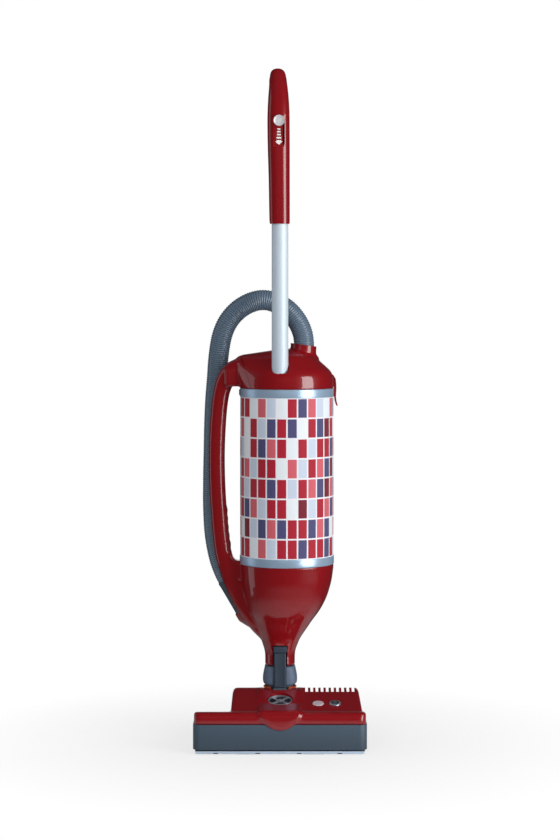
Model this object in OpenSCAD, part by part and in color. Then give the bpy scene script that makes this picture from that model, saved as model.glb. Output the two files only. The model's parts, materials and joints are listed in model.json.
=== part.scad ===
// Upright vacuum cleaner: power head, swivelling neck, motor cone, filter sleeve round the bag
// chamber, carry handle, hinged lid with the suction hose, handle tube and grip.
// Millimetres. X to the right, Y to the back, Z up. The origin is on the floor, on the head's
// rear glide strip, straight under the swivel axis of the neck.

/* [Power head] */
// Width of the power head over its bumper
head_w = 310; // [290:1:330]
// Distance from the swivel axis forward to the bumper's front face
head_front = 130; // [126:1:140]
// Depth of the front part, which holds the brush
bar_d = 75; // [75:1:78]
// Distance from the swivel axis back to the head's rear edge
head_back = 58; // [56:1:66]
// Height of the bumper's top edge
bumper_h = 53; // [50:1:56]
// Height of the front band's top edge
band_h = 74; // [72:1:78]
// Height of the rear housing's crest
crest_h = 99; // [96:1:100]
// Left side of the rear housing, from the head's centre
housing_l = 90; // [86:1:110]
// Distance of the rear housing's right side in from the head's right end
housing_in = 7; // [5:1:11]
// Wall thickness of the moulded covers
wall = 3; // [2:0.5:3.5]
// Thickness of the bumper
bumper_t = 3.5; // [3:0.5:5]
// Clearance under the sole plate
sole_gap = 3; // [2:0.5:4]
// Thickness of the sole plate
sole_t = 3; // [2:0.5:4]
// Radius of the two rear wheels
wheel_r = 16; // [14:0.5:18]
// Width of a rear wheel
wheel_w = 12; // [8:1:16]
// Radius of the two front rollers
roller_r = 5.5; // [5:0.5:6]

/* [Brush] */
// Radius of the brush over its bristles
brush_r = 25; // [24:0.5:25.5]
// Radius of the brush's core
core_r = 15; // [12:0.5:17]
// Height of the brush's axis
brush_z = 27.5; // [27:0.5:29]
// Radius of the motor's belt pulley
small_pulley_r = 8; // [6:0.5:10]
// Radius of the brush's belt pulley
big_pulley_r = 16; // [14:0.5:18]
// Radius of the brush motor
brush_motor_r = 22; // [18:0.5:22]

/* [Neck] */
// Height of the tilt axis
pivot_z = 70; // [69:0.5:72]
// Distance of the tilt axis behind the swivel axis
pivot_y = 10; // [8:0.5:12]
// Radius of the tilting barrel
barrel_r = 22; // [20:0.5:24]
// Width of the tilting barrel
barrel_w = 58; // [54:1:60]
// Radius of the air way through the neck
duct_r = 15; // [13:0.5:15.5]
// Height of the swivel's parting face
swivel_z = 101.5; // [101:0.5:103]
// Largest radius of the collar above the swivel
collar_r = 31.5; // [29:0.5:32]
// Height of the collar above the swivel
collar_h = 37; // [34:1:38]
// Width of the release bar at the front of the neck
bar_w = 24; // [20:1:25]

/* [Body] */
// Offset of the bag housing to the right of the neck
body_x = 12.5; // [8:0.5:16]
// Outside radius of the filter sleeve
sleeve_r = 86; // [84:0.5:88]
// Thickness of the filter sleeve
sleeve_t = 3; // [2:0.5:4]
// Height of the lower trim ring's bottom face
ring_z = 325.6; // [320:0.1:332]
// Height of each trim ring
ring_h = 15.4; // [12:0.1:18]
// Length of the filter sleeve
sleeve_h = 290; // [270:1:310]
// Radius of the stem that the neck plugs into
stem_r = 27.3; // [26:0.1:30]
// Height of the stem's lower end
stem_z = 140; // [139:0.5:144]
// Width of the carry handle
handle_w = 31; // [27:0.5:34]
// Outside radius of the filter bag
bag_r = 60; // [50:1:70]

/* [Motor] */
// Radius of the suction motor's can
can_r = 50; // [44:0.5:54]
// Height of the suction motor's can
can_h = 70; // [60:1:74]
// Radius of the suction fan
fan_r = 42; // [34:0.5:43]

/* [Lid and handle] */
// Height of the lid above the upper trim ring
lid_h = 73; // [68:1:78]
// Outside diameter of the handle tube
tube_d = 30; // [28:0.5:31]
// Wall of the handle tube
tube_t = 1.5; // [1:0.5:3]
// Height at which the grip starts
grip_z = 945; // [900:5:1000]
// Length of the grip
grip_h = 280; // [270:1:300]
// Outside diameter of the suction hose
hose_d = 38; // [36:0.5:39]
// Bore of the suction hose
hose_bore = 31; // [28:0.5:32]
// Diameter of the power slider's knob
knob_d = 20; // [16:0.5:22]
// Travel of the power slider
knob_travel = 26; // [20:1:28]

/* [Hidden] */
$fn = 48;
eps = 0.01;
// Clearance between fixed pieces that lie beside each other
seat = 0.3;
// Clearance all round a piece that moves
run = 0.6;
// Radial clearance of a shaft or pin in its hole
fit = 0.06;
red = "#8c1a24";
slate = "#4a5866";
silver = "#b9bdc6";
orange = "#d9541e";

bar_back = -head_front + bar_d;
sole_top = sole_gap + sole_t;
tunnel_r = brush_r + 2;
tunnel_t = 2;
brush_y = bar_back - wall - seat - tunnel_t - tunnel_r;
housing_r = head_w / 2 - housing_in;
belt_x = housing_r - 18;
belt_w = 8;
mouth_l = -head_w / 2 + 20;
mouth_r = belt_x - belt_w / 2 - 5;
motor_y = -24;
motor_z = 62;
motor_l = 56;
slope_a = atan((crest_h - band_h) / (head_front - 38));
slope_y = -head_front + 18;
function slope_z(y) = band_h + (y - slope_y) * tan(slope_a);

// ------------------------------------------------------------------ shared shapes

// Flat rounded rectangle between two corners
module plate_outline(x0, y0, x1, y1, r) {
    translate([x0 + r, y0]) square([x1 - x0 - 2 * r, y1 - y0]);
    translate([x0, y0 + r]) square([x1 - x0, y1 - y0 - 2 * r]);
    for (x = [x0 + r, x1 - r], y = [y0 + r, y1 - r]) translate([x, y]) circle(r);
}

// Extrudes a profile drawn in Y and Z along X, from x0 to x1
module along_x(x0, x1) {
    translate([x0, 0, 0]) rotate([90, 0, 90]) linear_extrude(x1 - x0) children();
}

// Extrudes a profile drawn in X and Z along Y, from y0 to y1
module along_y(y0, y1) {
    translate([0, y1, 0]) rotate([90, 0, 0]) linear_extrude(y1 - y0) children();
}

// Round bar along X, between x0 and x1, at y and z
module rod_x(x0, x1, y, z, r) {
    translate([x0, y, z]) rotate([0, 90, 0]) cylinder(r = r, h = x1 - x0);
}

// Round bar along Y, between y0 and y1, at x and z
module rod_y(y0, y1, x, z, r) {
    translate([x, y1, z]) rotate([90, 0, 0]) cylinder(r = r, h = y1 - y0);
}

// Closed ring of points with the shape of an ellipse, or squarer with a power above 2
function oval(n, a, b, power = 2) = [
    for (i = [0 : n - 1]) let (c = cos(360 * i / n), s = sin(360 * i / n))
        [a * sign(c) * pow(abs(c), 2 / power), b * sign(s) * pow(abs(s), 2 / power)]
];

// Triangles between rings of n points each, with both ends closed
function skin_faces(rings, n) = concat(
    [for (i = [0 : rings - 2], j = [0 : n - 1]) let (k = (j + 1) % n)
        each [[i * n + j, (i + 1) * n + k, i * n + k], [i * n + j, (i + 1) * n + j, (i + 1) * n + k]]],
    [for (j = [1 : n - 2]) [0, j, j + 1]],
    [for (j = [1 : n - 2]) let (o = (rings - 1) * n) [o, o + j + 1, o + j]]
);

// Skin over rings of points, listed from the lowest ring to the highest
module skin(rings) {
    n = len(rings[0]);
    polyhedron(points = [for (r = rings) each r], faces = skin_faces(len(rings), n), convexity = 6);
}

// ------------------------------------------------------------------ power head

// Plan of the head: the wide front part and the narrower rear part, drawn in by d
module head_plan(d, r = 12) {
    plate_outline(-head_w / 2 + d, -head_front + d, head_w / 2 - d, bar_back, r);
    plate_outline(-housing_l + d, bar_back - 20, housing_r - d, head_back - d, r);
}

module sole_plate() color("dimgray") difference() {
    union() {
        translate([0, 0, sole_gap]) linear_extrude(sole_t) head_plan(bumper_t + seat);
        for (x = [-wheel_x - wheel_w / 2 - 5, -wheel_x + wheel_w / 2 + 2,
                wheel_x - wheel_w / 2 - 5, wheel_x + wheel_w / 2 + 2])
            translate([x, wheel_y - 6, sole_top]) cube([3, 12, wheel_r - sole_top + 6]);
        for (s = [-1, 1]) translate([s * (barrel_w / 2 + 5) - 4, pivot_y - 9, sole_top])
            cube([8, 18, pivot_z - sole_top + 9]);
        for (s = [-1, 1]) translate([pedal_x + s * (pedal_w / 2 + 2.5) - 1.5, pedal_y - 5, sole_top])
            cube([3, 10, pedal_z - sole_top + 4]);
    }
    translate([mouth_l, brush_y - brush_r + 1, 0])
        cube([mouth_r - mouth_l, 2 * brush_r - 2, sole_top + 1]);
    translate([belt_x - belt_w / 2 - 2, brush_y - big_pulley_r - 4, sole_gap + 1])
        cube([belt_w + 4, 2 * big_pulley_r + 8, sole_top]);
    for (s = [-1, 1]) translate([s * wheel_x - wheel_w / 2 - 1, wheel_y - wheel_r - 1, 0])
        cube([wheel_w + 2, 2 * wheel_r + 2, sole_top + 1]);
    for (s = [-1, 1]) translate([s * roller_x - roller_w / 2 - 4, roller_y - roller_r - 1, 0])
        cube([roller_w + 8, 2 * roller_r + 2, sole_top + 1]);
    rod_x(-head_w / 2, head_w / 2, wheel_y, wheel_r, axle_r);
    rod_x(-barrel_w / 2 - 10, barrel_w / 2 + 10, pivot_y, pivot_z, trunnion_r + fit);
    rod_x(-head_w / 2, head_w / 2, pedal_y, pedal_z, pedal_pin_r);
}

wheel_x = housing_l - 20;
wheel_y = head_back - wheel_r - 4;
axle_r = 2.5;
trunnion_r = 6;
roller_x = head_w / 2 - 55;
roller_w = 14;
roller_y = -head_front + bumper_t + seat + roller_r + 2.5;
glide_w = 24;

// Strips that the head rests on: one behind the mouth, on the origin, and two at its front corners
module glide_strips() color("gainsboro") {
    linear_extrude(sole_gap) plate_outline(-50, -glide_w / 2, 50, glide_w / 2, 5);
    for (s = [-1, 1]) linear_extrude(sole_gap)
        plate_outline(s * (roller_x - 40) - 18, -head_front + 6, s * (roller_x - 40) + 18,
            brush_y - brush_r, 2);
}

module bumper() color(slate) difference() {
    translate([0, 0, 8]) linear_extrude(bumper_h - 8) difference() {
        plate_outline(-head_w / 2, -head_front, head_w / 2, bar_back + 10, 14);
        plate_outline(-head_w / 2 + bumper_t, -head_front + bumper_t, head_w / 2 - bumper_t,
            bar_back + 20, 14 - bumper_t);
    }
    translate([-head_w, bar_back - 2, 0]) cube([2 * head_w, 40, 2 * bumper_h]);
}

lip_t = 4;
module lip_strip() color("lightsteelblue") difference() {
    translate([-head_w / 2 + 5, -head_front + 0.5, 1.5]) cube([head_w - 10, lip_t - 1, 6.5]);
    for (x = [-115, -40, 34, 107])
        translate([x - 3.5, -head_front - 1, 1]) cube([7, 3, 3]);
}

// Profile of the front part's roof, drawn in Y and Z, set in by d
function roof(d) = [
    [-head_front + 0.5 + d, bumper_h - (d > 0 ? 1 : 0)],
    for (a = [180 : -15 : 90]) [-head_front + 10.5 + (10 - d) * cos(a),
        band_h - 10.5 + (10 - d) * sin(a)],
    [-head_front + 18, band_h - d],
    [bar_back - d, band_h - 14 - d],
    [bar_back - d, bumper_h - (d > 0 ? 1 : 0)]
];

// Profile of the rear housing, drawn in Y and Z, set in by d
function hump(d) = [
    [slope_y + d, sole_top - (d > 0 ? 1 : 0)],
    [slope_y + d, band_h - d],
    for (a = [slope_a + 90 : -9 : 20]) [-14 + (24 - d) * cos(a), crest_h - 24 + (24 - d) * sin(a)],
    [head_back - 4 - d, band_h - 20],
    [head_back - d, band_h - 34],
    [head_back - d, sole_top - (d > 0 ? 1 : 0)]
];

// Profile of the housing's ends, drawn in X and Z, set in by d
function ends(d) = [
    [-housing_l + d, 0],
    [-housing_l + d, band_h - 16],
    [-housing_l + 2 + d, band_h],
    [-housing_l + 6 + d, crest_h - 10],
    [-housing_l + 13 + d, crest_h + 1],
    [housing_r - 9 - d, crest_h + 1],
    [housing_r - 4 - d, crest_h - 10],
    [housing_r - 1 - d, band_h],
    [housing_r - d, band_h - 16],
    [housing_r - d, 0]
];

module front_roof(d) intersection() {
    along_x(-head_w / 2, head_w / 2) polygon(roof(d));
    linear_extrude(band_h + 5)
        plate_outline(-head_w / 2 + 1.5 + d, -head_front, head_w / 2 - 1.5 - d, bar_back, 14);
}

module rear_hump(d) intersection() {
    along_x(-housing_l, housing_r) polygon(hump(d));
    along_y(-head_front, head_back) polygon(ends(d));
}

// Half space under the sloping top of the nose, lowered by d
module under_slope(d) {
    translate([-100, slope_y - 40, slope_z(slope_y - 40) + 3 - d]) rotate([nose_a, 0, 0])
        translate([0, 0, -120]) cube([200, 200, 120]);
}
nose_a = 12;

// Round-ended tongue that runs from the dial down over the front band and the bumper
tongue_w = 32;
tongue_z = 72;
tongue_drop = 28;
module tongue_slice(y, inset) translate([0, y, 0]) rotate([90, 0, 0]) linear_extrude(0.1) {
    translate([0, tongue_z]) scale([tongue_w - inset, tongue_drop - inset]) circle(1, $fn = 40);
    translate([inset - tongue_w, tongue_z]) square([2 * (tongue_w - inset), 24]);
}
module tongue(d) intersection() {
    hull() {
        tongue_slice(-head_front - 6 + d, 10 + d);
        tongue_slice(-head_front - 4.8 + d, 4.5 + d);
        tongue_slice(-head_front - 2.5 + d, 1 + d);
        tongue_slice(-head_front + d, d);
        tongue_slice(-48, d);
    }
    under_slope(d);
}

// Raised collar round the neck's well
module collar_hump(d) intersection() {
    along_x(-43 + d, 43 - d) polygon([
        [slope_y + 4, band_h - 10],
        [slope_y + 4, band_h],
        [-32, crest_h - d],
        [-18, crest_h + 1.5 - d],
        [-4, crest_h + 0.5 - d],
        [14, crest_h - 12 - d],
        [14, band_h - 20]
    ]);
    along_y(-head_front, head_back) polygon([
        [-43 + d, 0], [-43 + d, band_h], [-39 + d, crest_h + 2], [39 - d, crest_h + 2],
        [43 - d, band_h], [43 - d, 0]
    ]);
}

well_r = collar_r + 1.5;
vent_pitch = 9.4;
vent_n = 10;
vent_x = housing_r - 12 - vent_n * vent_pitch + 4;
dial_r = 22.5;
dial_y = -65;
dial_z = 84;
button_r = 10.5;
button_y = -80;
button_x = 99;
lamp_x = 68.5;

// Places children on the housing's slope, with Z square to its face
module on_slope(x, y) {
    translate([x, y, slope_z(y)]) rotate([slope_a, 0, 0]) children();
}

module head_cover() color(red) difference() {
    union() {
        front_roof(0);
        rear_hump(0);
        collar_hump(0);
        tongue(0);
        translate([-head_w / 2 + bumper_t + seat, bar_back - wall, sole_top])
            cube([head_w / 2 - housing_l, wall, band_h - 14 - sole_top - wall]);
    }
    front_roof(wall);
    rear_hump(wall);
    // room for the brush under the roof, inside the bumper
    translate([-head_w / 2 + bumper_t, -head_front + bumper_t, 0])
        cube([head_w - 2 * bumper_t, bar_d - bumper_t - wall, bumper_h + 5]);
    translate([-housing_l + wall, bar_back - wall - 1, 0])
        cube([housing_l + housing_r - 2 * wall, 2 * wall, bumper_h + 5]);
    translate([0, 0, -eps]) intersection() {
        collar_hump(wall);
        translate([-60, -head_front, 0]) cube([120, 150, crest_h]);
    }
    tongue(wall);
    // the band stands in front of the bumper only on the tongue
    translate([-60, -head_front - 0.05, 0]) cube([120, 60, bumper_h]);
    translate([-60, -head_front + bumper_t, 0]) cube([120, 100, bumper_h]);
    // well of the neck, and the notch behind it that the neck tilts into
    translate([0, 0, pivot_z - 34]) cylinder(r = well_r, h = 90);
    translate([-well_r, 0, 36]) cube([2 * well_r, 90, 90]);
    translate([-40, pivot_y + 4, 36]) cube([80, 90, 90]);
    translate([-bar_w / 2 - 1.2, -bar_y - 1.2, 88]) cube([bar_w + 2.4, bar_y, 30]);
    // dial, button and lamp seats
    translate([0, dial_y, dial_z]) rotate([nose_a, 0, 0]) {
        translate([0, 0, -3]) cylinder(r = dial_r + run, h = 20);
        translate([0, 0, -20]) cylinder(r = 4 + fit, h = 30);
    }
    on_slope(button_x, button_y) translate([0, 0, -12]) cylinder(r = button_r + run, h = 20);
    on_slope(lamp_x, button_y) translate([0, 0, -12]) cylinder(r = button_r + seat, h = 20);
    // comb of cooling slots over the brush motor
    for (i = [0 : vent_n - 1]) translate([vent_x + i * vent_pitch, -38, crest_h - 5])
        cube([5, 70, 20]);
    // wheel arches and the pedal's gap
    for (s = [-1, 1]) translate([s * wheel_x - wheel_w / 2 - 1.5, wheel_y, 0])
        cube([wheel_w + 3, 40, 2 * wheel_r + 2]);
    translate([pedal_x - pedal_w / 2 - 1, head_back - 20, pedal_z - 9]) cube([pedal_w + 2, 40, 17]);
}

module brush_tunnel() color("silver") difference() {
    union() {
        rod_x(mouth_l - 2, mouth_r + 2, brush_y, brush_z, tunnel_r + tunnel_t);
        translate([-26, brush_y, 22]) cube([52, -brush_y - 22, 30]);
    }
    rod_x(mouth_l, mouth_r, brush_y, brush_z, tunnel_r);
    rod_x(mouth_l - 5, mouth_r + 5, brush_y, brush_z, 9);
    translate([-head_w, -head_front, -20]) cube([2 * head_w, 120, sole_top + 20]);
    translate([-23, brush_y + 8, 25]) cube([46, -brush_y, 24]);
}

// Elbow from the brush tunnel into the barrel's mouth
module suction_elbow() color("slategray") difference() {
    translate([-29, -21.7, sole_top]) cube([58, 12, 62]);
    translate([-23, -30, 25]) cube([46, 40, 24]);
    rod_x(-40, 40, pivot_y, pivot_z, barrel_r + 3 + seat);
    translate([0, 0, 60]) cylinder(r = duct_r + 12, h = 60);
}

module brush_motor() color("darkslategray") difference() {
    union() {
        rod_x(belt_x - belt_w / 2 - 6 - motor_l, belt_x - belt_w / 2 - 6, motor_y, motor_z,
            brush_motor_r);
        rod_x(belt_x - belt_w / 2 - 12 - motor_l, belt_x - belt_w / 2 - 5 - motor_l, motor_y, motor_z,
            9);
        for (x = [belt_x - 54, belt_x - 24])
            translate([x, motor_y - 12, sole_top]) cube([6, 24, motor_z - sole_top]);
    }
    rod_x(belt_x - 30, belt_x, motor_y, motor_z, 2.5 + fit);
}

module belt_loop(grow) hull() {
    translate([brush_y, brush_z]) circle(big_pulley_r + 0.2 + grow);
    translate([motor_y, motor_z]) circle(small_pulley_r + 0.2 + grow);
}

module drive_belt() color("black") along_x(belt_x - belt_w / 2 + 1, belt_x + belt_w / 2 - 1)
    difference() {
        belt_loop(2);
        belt_loop(0);
    }

axle_end = head_w / 2 - bumper_t - 5;
module brush_bearings() color("gray") for (s = [-1, 1]) difference() {
    translate([s * (axle_end + 0.5) - 4, brush_y - 8, sole_top])
        cube([8, 16, brush_z - sole_top + 9]);
    rod_x(-head_w, head_w, brush_y, brush_z, 4 + fit);
}

module axle_pins() color("silver") {
    for (s = [-1, 1]) rod_x(s * wheel_x - wheel_w / 2 - 5, s * wheel_x + wheel_w / 2 + 5, wheel_y,
        wheel_r, axle_r);
    rod_x(pedal_x - pedal_w / 2 - 4, pedal_x + pedal_w / 2 + 4, pedal_y, pedal_z, pedal_pin_r);
}

module status_lamp() color("lavender") on_slope(lamp_x, button_y) {
    translate([0, 0, -8]) cylinder(r = button_r, h = 8.5);
    translate([0, 0, -11]) cylinder(r = button_r - 3, h = 3);
}

module control_board() color("darkgreen") {
    left = -housing_l + wall + 7;
    translate([left, -44, sole_top + 10]) cube([44, 40, 1.6]);
    for (x = [left + 3, left + 39], y = [-41, -9]) translate([x, y, sole_top]) cylinder(r = 2.5, h = 10);
    translate([left + 8, -36, sole_top + 11.6]) cube([14, 10, 9]);
    translate([left + 28, -30, sole_top + 11.6]) cylinder(r = 5, h = 12);
}

module sole_screws() color("silver")
    for (x = [-housing_l + 50, housing_r - 36], y = [-30, head_back - 20])
        translate([x, y, sole_gap - 1]) cylinder(r = 4, h = 1);

// ------------------------------------------------------------------ brush and drive

module brush_core() color("gray") {
    rod_x(-axle_end - 3, axle_end + 3, brush_y, brush_z, 4);
    rod_x(mouth_l + 3, mouth_r - 3, brush_y, brush_z, core_r);
    rod_x(mouth_r - 4, belt_x - belt_w / 2 - 1, brush_y, brush_z, 8);
    rod_x(belt_x - belt_w / 2, belt_x + belt_w / 2, brush_y, brush_z, big_pulley_r);
}

// Two rows of tufts that wind once round the core
tuft_n = 26;
tuft_r = 3.2;
module brush_bristles() color("darkslategray") difference() {
    for (i = [0 : tuft_n - 1], row = [0, 1]) {
        x = mouth_l + 10 + i * (mouth_r - mouth_l - 20) / (tuft_n - 1);
        translate([x, brush_y, brush_z]) rotate([180 * row + 360 * i / tuft_n, 0, 0])
            translate([0, 0, core_r - 2]) cylinder(r = tuft_r, h = brush_r - core_r + 2, $fn = 8);
    }
    rod_x(-head_w, head_w, brush_y, brush_z, core_r);
}

module motor_pulley() color("silver") {
    rod_x(belt_x - belt_w / 2, belt_x + belt_w / 2, motor_y, motor_z, small_pulley_r);
    rod_x(belt_x - 28, belt_x, motor_y, motor_z, 2.5);
}

module rear_wheel(s) color("dimgray") difference() {
    union() {
        rod_x(s * wheel_x - wheel_w / 2, s * wheel_x + wheel_w / 2, wheel_y, wheel_r, wheel_r);
        rod_x(s * wheel_x - wheel_w / 2 - 1, s * wheel_x + wheel_w / 2 + 1, wheel_y, wheel_r, 6);
    }
    rod_x(-head_w, head_w, wheel_y, wheel_r, axle_r + fit);
    for (e = [-1, 1]) difference() {
        rod_x(s * wheel_x + e * wheel_w / 2 - 2, s * wheel_x + e * wheel_w / 2 + 2, wheel_y, wheel_r,
            wheel_r - 3);
        rod_x(-head_w, head_w, wheel_y, wheel_r, 6);
    }
}
module rear_wheel_left() rear_wheel(-1);
module rear_wheel_right() rear_wheel(1);

module front_roller(s) color("dimgray") difference() {
    rod_x(s * roller_x - roller_w / 2, s * roller_x + roller_w / 2, roller_y, roller_r, roller_r);
    rod_x(-head_w, head_w, roller_y, roller_r, 1.5 + fit);
}
module front_roller_left() front_roller(-1);
module front_roller_right() front_roller(1);

// Bar that carries the front rollers and that the height dial lifts
carriage_z = 2 * roller_r + 1.5;
module roller_carriage() color("gray") {
    translate([-roller_x - roller_w / 2 - 4, roller_y - 4, carriage_z])
        cube([2 * roller_x + roller_w + 8, 5.8, 3]);
    for (s = [-1, 1], e = [-1, 1])
        translate([s * roller_x + e * (roller_w / 2 + 1.6) - 1.2, roller_y - 3, roller_r - 3])
            cube([2.4, 6, carriage_z - roller_r + 3 + eps]);
    for (s = [-1, 1]) rod_x(s * roller_x - roller_w / 2 - 1, s * roller_x + roller_w / 2 + 1,
        roller_y, roller_r, 1.5);
    translate([-5, roller_y - 3, carriage_z]) cube([10, 4.5, 44]);
}

// Rotary dial on the nose, which sets the brush height
module height_dial() color(silver) translate([0, dial_y, dial_z]) rotate([nose_a, 0, 0]) {
    difference() {
        translate([0, 0, -2.4]) cylinder(r = dial_r, h = 5);
        translate([0, 0, 1]) difference() {
            cylinder(r = dial_r - 2.5, h = 5);
            translate([-2.5, -dial_r, -1]) cube([5, 2 * dial_r, 8]);
            translate([-dial_r, -2.5, -1]) cube([2 * dial_r, 5, 8]);
            cylinder(r = 6, h = 8);
        }
    }
    translate([0, 0, -16]) cylinder(r = 4, h = 15);
}

module brush_button() color(silver) on_slope(button_x, button_y) {
    translate([0, 0, -6]) cylinder(r = button_r, h = 8);
    translate([0, 0, -9.5]) cylinder(r = 3, h = 4);
}

// Foot pedal at the rear that frees the upright lock
pedal_x = 0;
pedal_w = 44;
pedal_y = head_back - 16;
pedal_z = 22;
pedal_pin_r = 2;
module release_pedal() color(slate) difference() {
    union() {
        translate([pedal_x - pedal_w / 2, pedal_y, pedal_z - 1]) cube([pedal_w, 32, 5]);
        rod_x(pedal_x - pedal_w / 2, pedal_x + pedal_w / 2, pedal_y, pedal_z, 4.5);
    }
    rod_x(-head_w, head_w, pedal_y, pedal_z, pedal_pin_r + fit);
}

// ------------------------------------------------------------------ neck

module tilt_barrel() color(slate) difference() {
    union() {
        rod_x(-barrel_w / 2, barrel_w / 2, pivot_y, pivot_z, barrel_r);
        rod_x(-barrel_w / 2 - 9, barrel_w / 2 + 9, pivot_y, pivot_z, trunnion_r);
        translate([0, 0, pivot_z]) cylinder(r = 21 - 0.05, h = swivel_z - pivot_z);
        translate([-bar_w / 2, -bar_y, 90]) cube([bar_w, 20, swivel_z - 90]);
    }
    translate([0, 0, pivot_z - 5]) cylinder(r = duct_r, h = 60);
    translate([0, -4, pivot_z]) rotate([130, 0, 0]) cylinder(r = duct_r - 2, h = 50);
}

// Flared ring under the collar, open at its front where the bar comes down
ring_base = pivot_z + barrel_r + 0.3;
module swivel_ring() color(orange) difference() {
    rotate_extrude() polygon([
        [21, ring_base],
        [collar_r - 6.5, ring_base],
        [collar_r - 3, ring_base + 3.5],
        [collar_r - 1, swivel_z - 0.2],
        [collar_r - 4, swivel_z - 0.2],
        [collar_r - 6, ring_base + 4.7],
        [21, ring_base + 4.7]
    ]);
    translate([-bar_w / 2 - 4, -bar_y - 1, 80]) cube([bar_w + 8, 21, 40]);
}

collar_top = swivel_z + 0.5 + collar_h;
module neck_collar() color(slate) difference() {
    rotate_extrude() polygon([
        [duct_r + 3, swivel_z + 0.5],
        [collar_r - 7, swivel_z + 0.5],
        [collar_r - 5, swivel_z + 3.5],
        [collar_r - 1, swivel_z + 6],
        [collar_r, swivel_z + 9],
        [collar_r, swivel_z + 13],
        [collar_r - 3, collar_top - 5],
        [collar_r - 5, collar_top - 1],
        [collar_r - 8, collar_top],
        [duct_r + 3, collar_top]
    ]);
    translate([-bar_w / 2 - seat, -60, swivel_z]) cube([bar_w + 2 * seat, 60 - bar_y + 18 + seat, collar_h + 10]);
    for (s = [-1, 1]) translate([s > 0 ? collar_r - 9 : -collar_r - 1, -40, swivel_z + collar_h - 9])
        cube([10, 16, 20]);
}

// Tube that plugs into the stem, with the long bar at its front
bar_y = 33;
bar_top = 165;
connector_top = 188;
module neck_connector() color(slate) difference() {
    union() {
        translate([0, 0, swivel_z + 0.5]) cylinder(r = duct_r + 3 - 0.05, h = connector_top - swivel_z);
        translate([-bar_w / 2, -bar_y, swivel_z + 0.5]) cube([bar_w, 18, bar_top - swivel_z - 0.5]);
    }
    translate([0, 0, swivel_z - 1]) cylinder(r = duct_r, h = connector_top);
}

module neck_button() color(slate)
    translate([-bar_w / 2, -bar_y - 0.5, bar_top + 0.6]) cube([bar_w, 11, 177 - bar_top - 0.6]);

// ------------------------------------------------------------------ body

top_ring_z = ring_z + ring_h + sleeve_h;
lid_z = top_ring_z + ring_h;

// Height above the stem's lower end, offset and radius of the cone, as shares of its full size
cone_steps = [
    [0.000, 0.00, 0.000], [0.081, 0.00, 0.000], [0.119, 0.00, 0.008], [0.156, 0.00, 0.032],
    [0.199, 0.02, 0.079], [0.237, 0.04, 0.122], [0.275, 0.08, 0.177], [0.356, 0.20, 0.324],
    [0.436, 0.35, 0.463], [0.514, 0.48, 0.620], [0.593, 0.64, 0.738], [0.673, 0.76, 0.831],
    [0.755, 0.86, 0.895], [0.830, 0.92, 0.944], [0.911, 0.96, 0.975], [1.000, 1.00, 1.000]
];
cone_h = ring_z - stem_z;
cone_top_r = sleeve_r + 0.5;
function cone_ring(step, d) = [
    for (p = oval(48, 1, 1)) let (r = stem_r + step[2] * (cone_top_r - stem_r) - d)
        [step[1] * body_x + r * p[0], r * p[1], stem_z + step[0] * cone_h]
];
module cone(d, from = 0) skin([
    for (i = [from : len(cone_steps) - 1]) cone_ring(cone_steps[i], d)
]);

// Centreline of the carry handle's limb in X and Z, with its half width and half depth
limb = [
    [-66, 681, 24, 30], [-84, 676, 21, 26], [-98, 664, 17.5, 20], [-106, 644, 15.5, 16.5],
    [-111, 615, 15, 16], [-114.5, 570, 15, 16], [-116, 520, 15, 16], [-115, 470, 15, 16],
    [-112.5, 425, 15, 16], [-109, 380, 15, 16.5], [-104, 345, 15.5, 17], [-96, 318, 16, 17.5],
    [-85, 292, 18, 17], [-70, 265, 20, 17], [-55, 240, 20, 20], [-40, 215, 17, 22],
    [-26, 192, 11, 16]
];
function limb_dir(i) = let (
    a = limb[max(i - 1, 0)], b = limb[min(i + 1, len(limb) - 1)],
    v = [b[0] - a[0], b[1] - a[1]]) v / norm(v);
function limb_ring(i) = let (
    p = limb[i], t = limb_dir(i), side = [-t[1], t[0]],
    w = (p[2] + (handle_w - 30) / 2), z = p[1] > 600 ? lid_z - 646.4 : 0) [
    for (q = oval(24, w, p[3], 2.4)) [p[0] + side[0] * q[0], q[1], p[1] + z + side[1] * q[0]]
];
module handle_limb() skin([for (i = [len(limb) - 1 : -1 : 0]) limb_ring(i)]);

// Scallops for the fingers on the inner side of the handle
module finger_rests() for (i = [0 : 4])
    rod_y(-9, 9, -103 + 0.9 * i - (i > 2 ? 0 : 1), 358 + i * 15.5, 8.5);

// Crown that the lid and the handle's shoulder share, drawn in by d
function dome(d) = [
    [0, lid_z], [sleeve_r + 0.5 - d, lid_z], [sleeve_r + 0.3 - d, lid_z + 0.14 * lid_h],
    [sleeve_r - 1.5 - d, lid_z + 0.30 * lid_h], [sleeve_r - 6 - d, lid_z + 0.44 * lid_h],
    [sleeve_r - 13 - d, lid_z + 0.56 * lid_h - 0.4 * d], [sleeve_r - 23 - d, lid_z + 0.68 * lid_h - 0.7 * d],
    [sleeve_r - 36 - d, lid_z + 0.81 * lid_h - 0.8 * d], [sleeve_r - 52 - d, lid_z + 0.92 * lid_h - d],
    [sleeve_r - 70, lid_z + 0.98 * lid_h - d], [0, lid_z + lid_h - d]
];
module crown() hull() {
    translate([body_x, 0, 0]) rotate_extrude($fn = 56) polygon(dome(0));
    translate([-64, 0, lid_z + 38]) scale([24, 34, 24]) sphere(1, $fn = 32);
}
module crown_cavity() translate([body_x, 0, 0]) rotate_extrude($fn = 56) polygon(dome(wall));

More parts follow.
